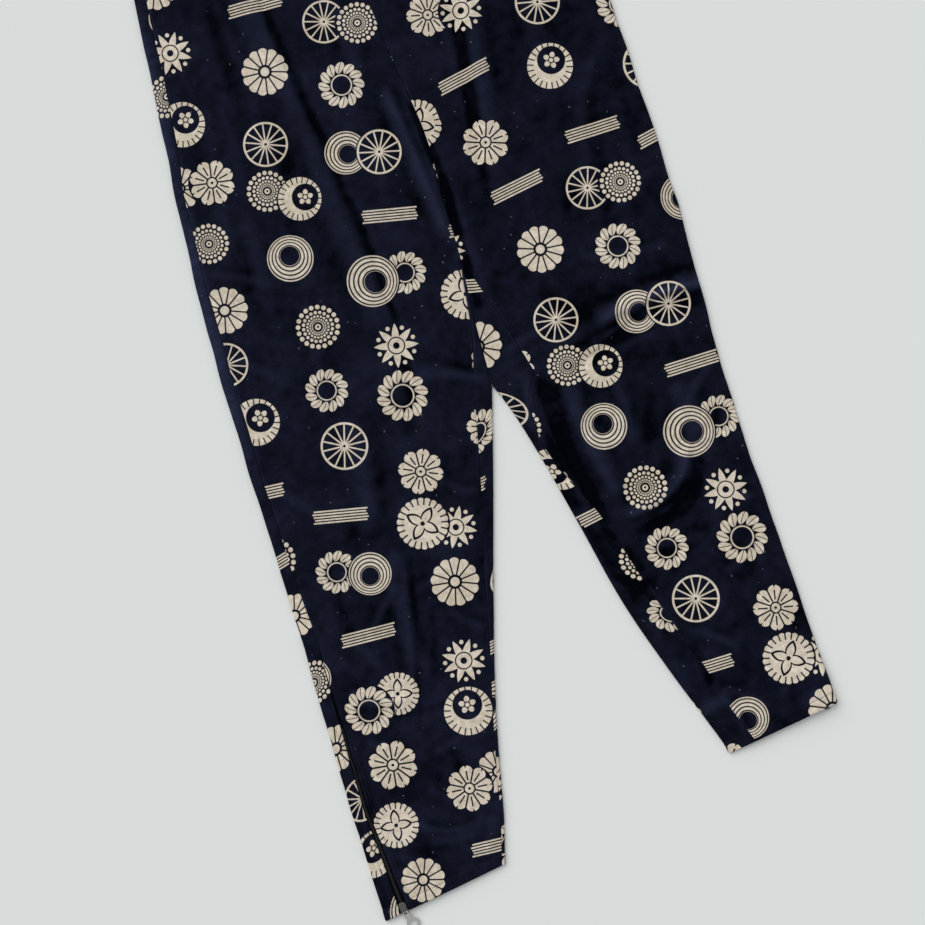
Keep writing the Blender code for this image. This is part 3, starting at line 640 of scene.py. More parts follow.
def tube_faces(rings, sides):
    """Corner numbers of the square faces between closed rings of points."""
    i, j = np.meshgrid(np.arange(rings - 1), np.arange(sides), indexing="ij")
    here, beside = i * sides + j, i * sides + (j + 1) % sides
    return np.stack([here, beside, beside + sides, here + sides], axis=2).reshape(-1, 4)


def joined(parts):
    """Several arrays of points and faces as one."""
    points, faces, number = [], [], 0
    for place, face in parts:
        points.append(place)
        faces.append(face + number)
        number += len(place)
    return np.concatenate(points), np.concatenate(faces)


def as_piece(mesh, materials, body="trousers"):
    """A mesh as a smooth piece of the scene, on its body and in its material slot."""
    mesh.shade_smooth()
    for material in materials:
        mesh.materials.append(material)
    piece = bpy.data.objects.new(mesh.name, mesh)
    bpy.context.scene.collection.objects.link(piece)
    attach(piece, body)
    return piece


def mesh_piece(name, points, faces, materials, uv=None, lit_and_worn=None):
    """A piece from an array of world points and one of square faces, with a UV map in metres of
    cloth and the painted light and wear at each point where a material needs them."""
    kept, corners = np.unique(faces, return_inverse=True)
    corners = corners.ravel().astype(np.int32)
    mesh = bpy.data.meshes.new(name)
    mesh.vertices.add(len(kept))
    mesh.vertices.foreach_set("co", points[kept].astype(np.float32).ravel())
    mesh.loops.add(len(corners))
    mesh.loops.foreach_set("vertex_index", corners)
    mesh.polygons.add(len(faces))
    mesh.polygons.foreach_set("loop_start", np.arange(0, len(corners), 4, dtype=np.int32))
    mesh.polygons.foreach_set("loop_total", np.full(len(faces), 4, dtype=np.int32))
    mesh.update(calc_edges=True)
    mesh.validate()
    if uv is not None:
        layer = mesh.uv_layers.new(name="cloth")
        layer.data.foreach_set("uv", uv[kept][corners].astype(np.float32).ravel())
    if lit_and_worn is not None:
        attribute = mesh.attributes.new("painted_light_and_wear", "FLOAT", "POINT")
        attribute.data.foreach_set("value", lit_and_worn[kept].astype(np.float32))
    return as_piece(mesh, materials)


def add_wall(piece, thickness):
    """Gives a surface a wall on its inner side."""
    wall = piece.modifiers.new("wall", "SOLIDIFY")
    wall.thickness, wall.offset = thickness, -1
    return wall


def outside_out(piece):
    """Closes the parts of a mesh and turns their faces so that they all point outwards."""
    work = bmesh.new()
    work.from_mesh(piece.data)
    bmesh.ops.remove_doubles(work, verts=work.verts, dist=0.02 * MM)
    bmesh.ops.holes_fill(work, edges=work.edges, sides=12)
    bmesh.ops.recalc_face_normals(work, faces=work.faces)
    work.to_mesh(piece.data)
    work.free()
    return piece


def in_world(points):
    return points + np.array([*FORK, 0])


# Cloth panels


def cloth_panel(node, points, uv, rings, lit_and_worn, used=None):
    """A panel's shell: its grid as one surface with a wall put on its inner side and its cloth
    coordinates, in place of the imported part."""
    rows, columns = points.shape[:2]
    if used is None:
        used = np.ones((rows - 1, columns - 1), bool)
    if rings.sign < 0:
        points, uv, used, lit_and_worn = (grid[:, ::-1] for grid in (points, uv, used, lit_and_worn))
    piece = mesh_piece(f"{node}_cloth", in_world(points).reshape(-1, 3), grid_faces(rows, columns, used),
                       [cloth_material(), reverse_material()], uv.reshape(-1, 2), lit_and_worn.reshape(-1))
    wall = add_wall(piece, values().cloth.wall)
    wall.material_offset, wall.material_offset_rim = 1, 0
    corner = np.zeros((rows, columns), bool)
    for i, j in ((0, 0), (0, 1), (1, 0), (1, 1)):
        corner[i:rows - 1 + i, j:columns - 1 + j] |= used
    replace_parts(piece, node)


def cloth_uv(rings, inward, turn, shift):
    """Cloth coordinates: the flat place of each point on its panel, turned so that the grain runs
    down the leg, and moved so that every panel is cut from another place in the print."""
    c, s = cos(radians(turn)), sin(radians(turn))
    flat = rings.outer[:, None] + rings.across[:, None] * inward[:, :, None]
    return flat @ np.array([[c, s], [-s, c]]) + shift


def blurred(grid, reach):
    """A grid's running mean over reach cells to each side, along its rows and then its columns."""
    for _ in range(2):
        total = np.cumsum(np.pad(grid, ((reach + 1, reach), (0, 0)), mode="edge"), axis=0)
        grid = ((total[2 * reach + 1:] - total[:-(2 * reach + 1)]) / (2 * reach + 1)).T
    return grid


@cache
def light_and_wear_map():
    """How pale the upper layer is painted, on an even grid: painted light, partly wear, where it stands
    over its running mean, narrow and wide, painted shade in hollows, and the table's strokes of painted light and
    shade on top."""
    across, up = np.meshgrid(*(np.arange(low, high, LIGHT_MAP_STEP) for low, high in zip(LIGHT_MAP_LOW, LIGHT_MAP_HIGH)))
    height = top_relief(across, up) / MM
    # Painted light where the relief stands over its running means, painted shade where it sinks under them
    narrow, wide = height - blurred(height, 3), height - blurred(height, 11)
    strokes = sum(crease_height(across, up, stroke) for stroke in LIGHT_STROKES) / MM
    # Painted shade: the right leg is painted darker than the left
    base = 0.42 - 0.09 * smooth((across - 0.01) / 0.06)
    return blurred(base + 0.34 * narrow + 0.13 * wide + strokes, 1)


def painted_light_and_wear(points):
    """The map of painted light and wear read at each point, evenly between its grid's four nearest places."""
    lit_and_worn = light_and_wear_map()
    place = (points[:, :, :2] - LIGHT_MAP_LOW) / LIGHT_MAP_STEP
    cell = np.clip(place.astype(int), 0, np.array(lit_and_worn.shape[::-1]) - 2)
    s, t = np.moveaxis(np.clip(place - cell, 0, 1), 2, 0)
    j, i = np.moveaxis(cell, 2, 0)
    return ((lit_and_worn[i, j] * (1 - s) + lit_and_worn[i, j + 1] * s) * (1 - t)
            + (lit_and_worn[i + 1, j] * (1 - s) + lit_and_worn[i + 1, j + 1] * s) * t)


def seam_highlight(points, edges):
    """A painted highlight: a thin pale line, broken here and there, where the cloth turns down into each seam."""
    broken = 0.6 + 0.8 * waves(points[:, :, 0] * 0.3, points[:, :, 1], 16 * MM, 61)
    return sum(0.26 * broken * bump_at(np.abs(apart) - 1.5 * MM, 1.2 * MM) for apart in edges)


def front_panel(side):
    """A front panel over the top of its rings, and round the outer fold on the right."""
    rings = rings_for(side, values().cloth.fine)
    start, end = rings.outer_seam() + rings.zip_half, rings.inner_seam()
    if side == "left":
        along = columns_between(start, end, FRONT_COLUMNS)
    else:
        zero = np.zeros(len(start))
        along = np.concatenate([
            start[:, None], even(start, zero, 5, 1.5), even(zero, rings.outer_arc, FOLD_COLUMNS),
            columns_between(rings.outer_arc + 1.5 * MM, end, FRONT_COLUMNS)], axis=1)
    edges = (along - start[:, None], end[:, None] - along)
    points = sewn(rings.place(along), rings, edges)
    turn, shift, _ = CUT[side]
    uv = cloth_uv(rings, EDGE_REACH + along - rings.outer_arc[:, None], turn, shift)
    lit_and_worn = np.clip(painted_light_and_wear(points) + seam_highlight(points, edges), 0, BRIGHTEST_HIGHLIGHT)
    cloth_panel(f"front_{side}", points, uv, rings, lit_and_worn)


def back_panel(side):
    """A back panel: along the underside and round the edges to both seams. Above the crotch it
    ends at the centre seam, and a tongue of it shows beside the front."""
    rings = rings_for(side)
    inner = rings.inner_seam()
    outer = rings.round + rings.outer_seam() - rings.zip_half
    tongue = inner[:, None] + (rings.top_end - inner)[:, None] * np.linspace(0, 1, TONGUE_COLUMNS + 1) ** 1.7
    fold = even(rings.top_end, rings.turn + 0.001 * MM, FOLD_COLUMNS)
    if side == "left":
        past_fold = rings.round + rings.outer_arc
        last = outer[:, None] - (outer - past_fold)[:, None] * np.linspace(1, 0, 9)[1:] ** 1.7
        rest = [even(rings.turn, rings.round, BACK_COLUMNS), even(rings.round, past_fold, FOLD_COLUMNS), last]
    else:
        close = near_steps(outer - rings.turn, (0.0, 0.5, 1.1, 2.0, 3.4))[:, ::-1]
        rest = [even(rings.turn, outer - close[:, 0], BACK_COLUMNS), (outer[:, None] - close)[:, 1:]]
    along = np.concatenate([tongue, fold, *rest], axis=1)
    centre = np.where(rings.folded[:, None], 1.0, along - rings.turn[:, None])
    edges = (along - inner[:, None], outer[:, None] - along, centre)
    points = sewn(rings.place(along), rings, edges)
    turn, _, shift = CUT[side]
    uv = cloth_uv(rings, (rings.width - rings.inner_reach + rings.turn)[:, None] - along, turn, shift)
    used = np.ones((along.shape[0] - 1, along.shape[1] - 1), bool)
    used[~rings.has_tongue[:-1], :TONGUE_COLUMNS] = False
    used[~rings.folded[:-1], TONGUE_COLUMNS:TONGUE_COLUMNS + FOLD_COLUMNS] = False
    lit_and_worn = np.where(along < rings.turn[:, None], painted_light_and_wear(points), PLAIN_LIGHT_AND_WEAR) + seam_highlight(points, edges[:2])
    if side == "left":
        round_fold = (along - rings.round[:, None]) / rings.outer_arc[:, None]
        lit_and_worn = np.where(round_fold > 0.3, painted_light_and_wear(points), lit_and_worn)
        x, y = points[:, :, 0], points[:, :, 1]
        # A painted highlight along the left leg's outer fold, fading out down the leg
        edge_highlight = bump_at((round_fold - 0.6) * rings.outer_arc[:, None], 11 * MM)
        lit_and_worn = lit_and_worn + edge_highlight * smooth((y + 0.30) / 0.25) * (0.50 + 0.35 * waves(x, y, 13 * MM, 51))
    cloth_panel(f"back_{side}", points, uv, rings, np.clip(lit_and_worn, 0, BRIGHTEST_HIGHLIGHT), used)


def band_rings(down):
    return Rings(BAND, down, "left", legs=False)


def band_waves(points):
    """The casing's fine upright waves."""
    return waves(points[:, :, 0], points[:, :, 1] * 0.10, 11 * MM, 6)


def band_ripple(points, rings):
    """How far the casing stands out: its waves, its rows of sewing, and a roll of both edges."""
    up = -rings.down[:, None] - BAND_FOOT
    middle = np.sin(np.clip(up / BAND_DEPTH, 0, 1) * pi)
    move = 0.45 * MM * band_waves(points) * (0.5 + middle) + 0.5 * MM * middle
    for line in BAND_SEWING:
        move -= 0.35 * MM * bump_at(up - line, 0.9 * MM)
    return move - 0.8 * MM * bump_at(up, 0.8 * MM) - 0.6 * MM * bump_at(up - BAND_DEPTH, 1.0 * MM)


def waistband():
    """The doubled band round the top edge: one ring of cloth with a sewn end at its lower left."""
    rings = band_rings(-BAND_TOP + np.array(BAND_ROWS) * MM)
    zero = np.zeros(len(BAND_ROWS))
    along = np.concatenate([
        zero[:, None] + 0.1 * MM, even(zero, rings.outer_arc, FOLD_COLUMNS),
        even(rings.outer_arc, rings.top_end, BAND_COLUMNS[0]), even(rings.top_end, rings.turn, FOLD_COLUMNS),
        even(rings.turn, rings.round - 0.1 * MM, BAND_COLUMNS[1])], axis=1)
    points = rings.place(along)
    points = above_floor(points + normals_of(points, 1) * band_ripple(points, rings)[:, :, None])
    uv = np.stack(np.broadcast_arrays(along + 0.21, 0.45 - rings.down[:, None]), axis=2)
    # Painted light and shade that follow the casing's waves
    lit_and_worn = np.clip(PLAIN_LIGHT_AND_WEAR + 0.25 * band_waves(points), 0, 1)
    cloth_panel("waistband", points, uv, rings, lit_and_worn)


# Stitches and zips

def run_of(path):
    """Distance from a path's first point to each of its points."""
    return np.concatenate([[0], np.cumsum(np.linalg.norm(np.diff(path, axis=0), axis=1))])


def read_at(at, run, rows):
    """Rows of three numbers read at any distance, evenly between the distances in run."""
    return np.stack([np.interp(at, run, rows[:, k]) for k in range(3)], axis=-1)


def thread_line(path, normal):
    """Stitches along a path: each is a thin closed tube, four sides round and five rings long,
    that rises out of the cloth and dives back into it."""
    put = values().stitch
    run = run_of(path)
    pitch = put.length + put.gap
    count = max(1, int((run[-1] - put.gap) / pitch))
    starts = (run[-1] - count * pitch + put.gap) / 2 + pitch * np.arange(count)
    at = starts[:, None] + put.length * np.array([0.0, 0.12, 0.5, 0.88, 1.0])
    middle, up = read_at(at, run, path), unit(read_at(at, run, normal))
    aside = np.cross(unit(np.gradient(middle, axis=1)), up)
    rise = np.array([-0.9, 0.1, 0.55, 0.1, -0.9]) * put.thread
    thick = np.array([0.45, 0.95, 1.0, 0.95, 0.45])[:, None] * put.thread
    turn = np.arange(4) * pi / 2 + pi / 4
    points = ((middle + up * rise[:, None])[:, :, None] + aside[:, :, None] * (thick * np.cos(turn))[..., None]
              + up[:, :, None] * (thick * np.sin(turn))[..., None])
    faces = np.concatenate([tube_faces(5, 4), [[3, 2, 1, 0], [16, 17, 18, 19]]])
    return points.reshape(-1, 3), (faces + 20 * np.arange(count)[:, None, None]).reshape(-1, 4)


def line_on(rings, along, lift):
    """Points and upright directions along one place of every ring, a little off the cloth."""
    three = rings.place(along[:, None] + np.array([-1, 0, 1]) * MM)
    normal = normals_of(three, rings.sign)[:, 1]
    return in_world(three[:, 1] + normal * lift), normal


def hem_thread(side):
    """Stitches round the hem, across the top and back along the underside."""
    line = -TABLES[side][-1].inner_y * MM - values().stitch.hem_depth
    rings = Rings(TABLES[side], line + np.array([-1, 0, 1]) * MM, side)
    seam, room = rings.outer_seam(), rings.zip_half + 2 * MM
    start, end = seam + room, rings.round + seam - room
    points = rings.place(start[:, None] + (end - start)[:, None] * np.linspace(0, 1, 260))
    normal = normals_of(points, rings.sign)[1]
    return thread_line(in_world(points[1] + normal * 0.12 * MM), normal)


def band_threads():
    """Two rows of stitches round the waistband, near its top and its bottom edge."""
    lines = []
    for up in BAND_SEWING:
        rings = band_rings(-BAND_FOOT - up + np.array([-1, 0, 1]) * MM)
        points = rings.place(np.tile(np.linspace(2 * MM, rings.round.min() - 2 * MM, 560), (3, 1)))
        normal = normals_of(points, 1)[1]
        move = band_ripple(points, rings)[1] + 0.16 * MM
        lines.append(thread_line(in_world(points[1] + normal * move[:, None]), normal))
    return joined(lines)


def zip_rings(side):
    """The rows of one leg's rings from the top of its zip down to the slider."""
    whole = rings_for(side)
    first = whole.down[int(np.argmax(whole.zip_half > 1.65 * MM))]
    return Rings(TABLES[side], np.linspace(first, whole.down.max() - 6 * MM, 130), side)


def zip_threads(side):
    """A row of stitches down each side of the zip, a seam's width from its edge."""
    rings = zip_rings(side)
    away = rings.zip_half + 5.5 * MM
    return joined([thread_line(*line_on(rings, rings.outer_seam() + way * away, 0.45 * MM)) for way in (-1, 1)])


def zip_tape(side):
    """The woven tape under the chain: a strip that runs in under the cloth on both sides."""
    rings = zip_rings(side)
    share = np.linspace(-1, 1, 11)
    points = rings.place(rings.outer_seam()[:, None] + (rings.zip_half + 2.2 * MM)[:, None] * share)
    points = points - normals_of(points, rings.sign) * (1.15 * MM)
    points = above_floor(points, 0.05 * MM) if side == "left" else points[:, ::-1]
    uv = np.stack(np.broadcast_arrays(share * 6 * MM, rings.down[:, None]), axis=2)
    piece = mesh_piece(f"zip_{side}_tape", in_world(points).reshape(-1, 3), grid_faces(*points.shape[:2]),
                       [tape_material()], uv.reshape(-1, 2))
    add_wall(piece, 0.5 * MM)
    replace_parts(piece, f"zip_{side}")


def zip_coil(side):
    """The closed chain: two rows of teeth, half a pitch apart. Each tooth is a closed round bar
    across the chain, arched in its middle, six sides round and seven rings long."""
    put = values().zips
    rings = zip_rings(side)
    path, normal = line_on(rings, rings.outer_seam(), -0.55 * MM)
    run = run_of(path)
    count = int((run[-1] - 2 * MM) / (put.pitch / 2))
    at = 1 * MM + put.pitch / 2 * np.arange(count)
    middle, up = read_at(at, run, path), unit(read_at(at, run, normal))
    ahead = unit(np.gradient(middle, axis=0))
    aside = np.cross(ahead, up)
    way = np.where(np.arange(count) % 2, 1.0, -1.0)
    reach = np.minimum(put.reach, np.interp(at, run, rings.zip_half) - 0.7 * MM)
    t = np.linspace(-1, 1, 7)
    off = (way * reach)[:, None] * (0.30 + 0.70 * t)
    rise = 0.55 * MM * (1 - 0.6 * t ** 2)
    thick = np.sqrt(1.0001 - t ** 4)[:, None]
    turn = np.arange(6) * pi / 3
    centre = middle[:, None] + aside[:, None] * off[..., None] + up[:, None] * rise[:, None]
    points = (centre[:, :, None] + ahead[:, None, None] * (thick * 0.50 * MM * np.cos(turn))[..., None]
              + up[:, None, None] * (thick * 0.55 * MM * np.sin(turn))[..., None])
    faces = (tube_faces(7, 6) + 42 * np.arange(count)[:, None, None]).reshape(-1, 4)
    outside_out(mesh_piece(f"zip_{side}_coil", points.reshape(-1, 3), faces, [coil_material()]))


def pillow(size, middle, power, taper, columns=28, rows=18):
    """A closed rounded block: the cosines and sines of a ball's two angles, each raised to a power
    below one so that the faces flatten, and its width changed evenly from the front to the back."""
    around, down = np.meshgrid(np.linspace(0, 2 * pi, columns, endpoint=False), np.linspace(-pi / 2, pi / 2, rows))
    x = bent(np.cos(down), power) * bent(np.cos(around), power) * size[0] / 2
    y = bent(np.cos(down), power) * bent(np.sin(around), power) * size[1] / 2
    z = bent(np.sin(down), power) * size[2] / 2
    x = x * (1 - (1 - taper) * (0.5 - y / size[1]))
    return np.stack([x, y, z], axis=2).reshape(-1, 3) + middle, tube_faces(rows, columns)


def strap(path, width, thick, sides=12):
    """A closed bar carried along a path in the y and z plane: a rounded oblong section across it."""
    ahead = unit(np.gradient(path, axis=0))
    turn = np.arange(sides) * 2 * pi / sides
    across, out = bent(np.cos(turn), 0.5) * width / 2, bent(np.sin(turn), 0.5) * thick / 2
    points = np.broadcast_arrays(across, path[:, :1] - ahead[:, 1:] * out, path[:, 1:] + ahead[:, :1] * out)
    return np.stack(points, axis=2).reshape(-1, 3), tube_faces(len(path), sides)


def hinge(side):
    """Where a pull tab's hinge is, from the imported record."""
    joint = next(j for j in frame["record"]["behaviour"]["joints"] if j["name"] == f"{side}_tab_hinge")
    return Vector(joint["pos_m"])


def turned(degrees, axis):
    return Matrix.Rotation(radians(degrees), 4, axis)


def slider_place(side):
    """The slider's place: at the hinge, along the end of the zip, and face down on the right."""
    last = -TABLES[side][-1].inner_y * MM
    end = Rings(TABLES[side], last - np.array([22, 11, 0]) * MM, side)
    path = end.place(end.outer_seam()[:, None])[:, 0]
    run = path[2] - path[0]
    place = Matrix.Translation(hinge(side)) @ Matrix.Rotation(pi + np.arctan2(run[0], -run[1]), 4, "Z")
    return place if side == "left" else place @ turned(180, "Y")


def tab_place(side):
    """The tab's place: drooping past the hem on the left, folded back under the leg on the right."""
    if side == "left":
        return Matrix.Translation(hinge(side)) @ turned(200, "Z") @ turned(-13, "X")
    return slider_place(side) @ turned(177.5, "X")


def slider(side):
    """The slider: two tapered plates, the wedge between them, turned-in edges and the arch that
    holds the tab. Its numbers are in millimetres from the hinge."""
    legs = [(-1.45, -2.6), (-1.5, -1.6)]
    arch = legs + [(-1.5 * cos(a), 1.5 * sin(a) - 0.35) for a in np.linspace(0, pi, 13)]
    arch += [(-y, z) for y, z in legs[::-1]]
    points, faces = joined([
        pillow((8.6, 13.0, 1.0), (0, -4.35, -1.82), 0.30, 0.78),
        pillow((8.4, 12.6, 0.9), (0, -4.35, -4.0), 0.30, 0.78),
        pillow((3.0, 6.0, 2.6), (0, -0.9, -2.9), 0.5, 0.6),
        pillow((0.9, 8.0, 1.5), (3.55, -5.0, -2.5), 0.5, 1.0),
        pillow((0.9, 8.0, 1.5), (-3.55, -5.0, -2.5), 0.5, 1.0),
        strap(np.array(arch), 2.1, 0.72),
    ])
    place = np.array(slider_place(side))
    points = points * MM @ place[:3, :3].T + place[:3, 3]
    piece = mesh_piece(f"slider_{side}_metal", points, faces, [slider_material()])
    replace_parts(outside_out(piece), f"slider_{side}")


def pull_tab(side):
    """The pull tab: a flat plate with a straight neck and a round end, cut through by a slot for
    the arch and a round hole, with its edges rounded. Its outlines are in millimetres."""
    def arc(radius, turn):
        return np.stack([radius * np.cos(turn), 16 + radius * np.sin(turn)], axis=1)

    edge = 0.28 * MM
    neck = np.array([(3.4, -0.6), (3.4, 5.0), (3.62, 8.0)])
    ring = arc(7.2, np.linspace(-radians(28), pi + radians(28), 72))
    outline = np.concatenate([neck, ring, (neck * (-1, 1))[::-1]])
    slot = np.array([(1.6, 0.6), (1.6, 2.5), (1.2, 2.9), (-1.2, 2.9), (-1.6, 2.5), (-1.6, 0.6)])
    hole = arc(4.2, np.linspace(0, 2 * pi, 48, endpoint=False))
    plate = bpy.data.curves.new(f"pull_{side}_outline", "CURVE")
    plate.dimensions, plate.fill_mode = "2D", "BOTH"
    plate.bevel_depth, plate.bevel_resolution = edge, 3
    plate.extrude, plate.offset = values().zips.tab_thick / 2 - edge, -edge
    for line in (outline, slot, hole):
        spline = plate.splines.new("POLY")
        spline.points.add(len(line) - 1)
        spline.use_cyclic_u = True
        spline.points.foreach_set("co", np.c_[line * MM, np.zeros(len(line)), np.ones(len(line))].ravel())
    drawn = bpy.data.objects.new(plate.name, plate)
    bpy.context.scene.collection.objects.link(drawn)
    mesh = bpy.data.meshes.new_from_object(drawn.evaluated_get(bpy.context.evaluated_depsgraph_get()))
    bpy.data.objects.remove(drawn)
    mesh.transform(tab_place(side))
    mesh.name = f"pull_{side}_metal"
    mesh.materials.clear()
    piece = outside_out(as_piece(mesh, [tab_material()], f"{side}_tab"))
    piece.modifiers.new("weighted", "WEIGHTED_NORMAL").keep_sharp = True
    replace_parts(piece, f"pull_{side}")


# Materials

class Number:
    """A number that shader nodes work out: + - * / and the functions below each add a Math node."""

    def __init__(self, socket):
        self.tree, self.socket = socket.id_data, socket

    def do(self, operation, *others, clamp=False):
        node = add(self.tree, "Math", dict(enumerate((self, *others))))
        node.operation, node.use_clamp = operation, clamp
        return Number(node.outputs[0])

    def edge(self, width):
        """0 to 1 across an edge where the number passes zero, over the given width."""
        return self.do("MULTIPLY_ADD", 1 / width, 0.5, clamp=True)

    def min(self, *others):
        return reduce(lambda one, other: one.do("MINIMUM", other), others, self)

    def max(self, *others):
        return reduce(lambda one, other: one.do("MAXIMUM", other), others, self)

    def held(self):
        """The number kept between 0 and 1."""
        return self.max(0.0).min(1.0)

    __add__ = __radd__ = partialmethod(do, "ADD")
    __sub__ = partialmethod(do, "SUBTRACT")
    __rsub__ = partialmethod(do, "MULTIPLY_ADD", -1.0)
    __mul__ = __rmul__ = partialmethod(do, "MULTIPLY")
    __truediv__ = partialmethod(do, "DIVIDE")
    power = partialmethod(do, "POWER")
    modulo = partialmethod(do, "FLOORED_MODULO")
    abs = partialmethod(do, "ABSOLUTE")
    root = partialmethod(do, "SQRT")
    floor = partialmethod(do, "FLOOR")
    sine = partialmethod(do, "SINE")
    cosine = partialmethod(do, "COSINE")
    angle = partialmethod(do, "ARCTAN2")
    near = partialmethod(do, "PINGPONG", 0.5)
    under = partialmethod(do, "LESS_THAN")
    over = partialmethod(do, "GREATER_THAN")


def feed(node, place, source):
    """Gives a node's input a number or colour, or links it to a socket."""
    if isinstance(source, Number):
        source = source.socket
    if isinstance(source, bpy.types.NodeSocket):
        node.id_data.links.new(source, node.inputs[place])
    else:
        node.inputs[place].default_value = source


def add(tree, kind, inputs):
    """A new shader node with some of its inputs fed."""
    node = tree.nodes.new("ShaderNode" + kind)
    for place, source in inputs.items():
        feed(node, place, source)
    return node


def separate(tree, source, kind="SeparateXYZ"):
    return [Number(out) for out in add(tree, kind, {0: source}).outputs[:3]]


def either(choice, yes, no):
    """One number where choice is 1 and another where it is 0."""
    return no + (yes - no) * choice


def chance(tree, cell_x, cell_y, seed):
    """Three even random numbers for each cell of the print."""
    place = add(tree, "CombineXYZ", {0: cell_x, 1: cell_y, 2: seed})
    drawn = add(tree, "TexWhiteNoise", {"Vector": place.outputs[0]})
    return separate(tree, drawn.outputs["Color"], "SeparateColor")


# Each motif is a number over a disc of radius 1, above zero on the printed parts. x and y are the
# place on the disc, r the distance from its middle and t the angle in whole turns. near() is the
# distance to the nearest whole number, so that (t * n).near() repeats a motif's part n times round.

def daisy(x, y, r, t):
    """Thirteen round-ended petals with a bare line between them, and a button in the middle."""
    m = (t * 13).near()
    tip = 0.82 + (1 - m * m * 4).root() * 0.18
    return (tip - r).min((0.5 - m) * r * (2 * pi / 13) - 0.034, r - 0.30).max(0.19 - r)


def rosette(x, y, r, t):
    """Eight notched petals, each with a slit, round a ringed button with a bare dot."""
    m = (t * 8).near()
    tip = 0.68 + (1 - m * m * 4).root() * 0.32 - (1 - m * 16).max(0.0) * 0.13
    slit = (m * r * (2 * pi / 8) - 0.034).max(0.36 - r, r - 0.78)
    return (tip - r).min((0.5 - m) * r * (2 * pi / 8) - 0.036, slit, r - 0.27).max((0.2 - r).min(r - 0.06))


def circles(x, y, r, t):
    """Five rings whose middles step away from the middle of the roundel, round a bare disc."""
    k = (x * x + (y + (1 - r) * 0.20).power(2.0)).root()
    k = (x * x + (y + (1 - k) * 0.20).power(2.0)).root()
    return (((k * 6.5).near() - 0.19) * (1 / 6.5)).min(1 - k, k - 0.42)


def wheel(x, y, r, t):
    """A thin rim and fourteen spokes that meet in a pierced hub."""
    spoke = 0.032 - (t * 14).near() * r * (2 * pi / 14)
    return spoke.max((1 - r).min(r - 0.91), 0.17 - r).min(1 - r, r - 0.06)


def beads(x, y, r, t):
    """Rings of round dots that grow outwards, each ring set between the dots of the next."""
    v = r.max(0.01).do("LOGARITHM", 1.369)
    level = v.floor()
    across = (t * 20 + level * 0.5).near()
    along = v - level - 0.5
    dot = 0.37 - (across * across + along * along).root()
    return (dot * r * 0.314).min(1 - r, r - 0.22).max((0.13 - r).min(r - 0.05))


def star(x, y, r, t):
    """An eight-pointed star, pierced by a ring and a hole, with a bead between its points."""
    m = (t * 8).near()
    ray = (0.44 - r) + (1 - m * 2).max(0.0).power(1.3) * 0.56
    bead_x, bead_y = (0.5 - m) * r * (2 * pi / 8), r - 0.84
    bead = 0.095 - (bead_x * bead_x + bead_y * bead_y).root()
    return (ray * 0.6).min((r - 0.37).abs() - 0.03, r - 0.15).max(bead)


def wreath(x, y, r, t):
    """A ring of twelve slanted leaves with bare midribs, outside a thin ring."""
    m = (t * 12 + r * 0.8).near()
    half = ((r - 0.5) * (2 * pi)).sine().max(0.0).root() * 0.47
    leaf = ((half - m) * r * 0.42).min(m * r * 0.52 - 0.016, 1 - r, r - 0.5)
    return leaf.max(0.028 - (r - 0.43).abs())


def crescent(x, y, r, t):
    """A crescent with a fluted outer edge, curled round a small flower of five dots."""
    away_x = x - 0.26
    away = (away_x * away_x + y * y).root()
    flute = ((t * 22).near() * r * (2 * pi / 22) - 0.028).max(0.72 - r)
    m = (y.angle(away_x) * (5 / (2 * pi))).near()
    dot_x, dot_y = m * away * (2 * pi / 5), away - 0.25
    dot = 0.115 - (dot_x * dot_x + dot_y * dot_y).root()
    return (1 - r).min(away - 0.62, flute).max(dot, 0.09 - away)


def medallion(x, y, r, t):
    """A fluted disc with a bare four-petalled line round a bare dot."""
    m = (t * 22).near()
    flute = ((0.5 - m) * r * (2 * pi / 22) - 0.030).max(0.72 - r)
    petal = (r - (1 - (t * 4).near() * 2) * 0.46 - 0.20).abs() - 0.062
    return (1 - m * m * 0.28 - r).min(flute, petal, r - 0.09)


MOTIFS = (daisy, circles, rosette, wheel, star, beads, medallion, crescent, wreath)


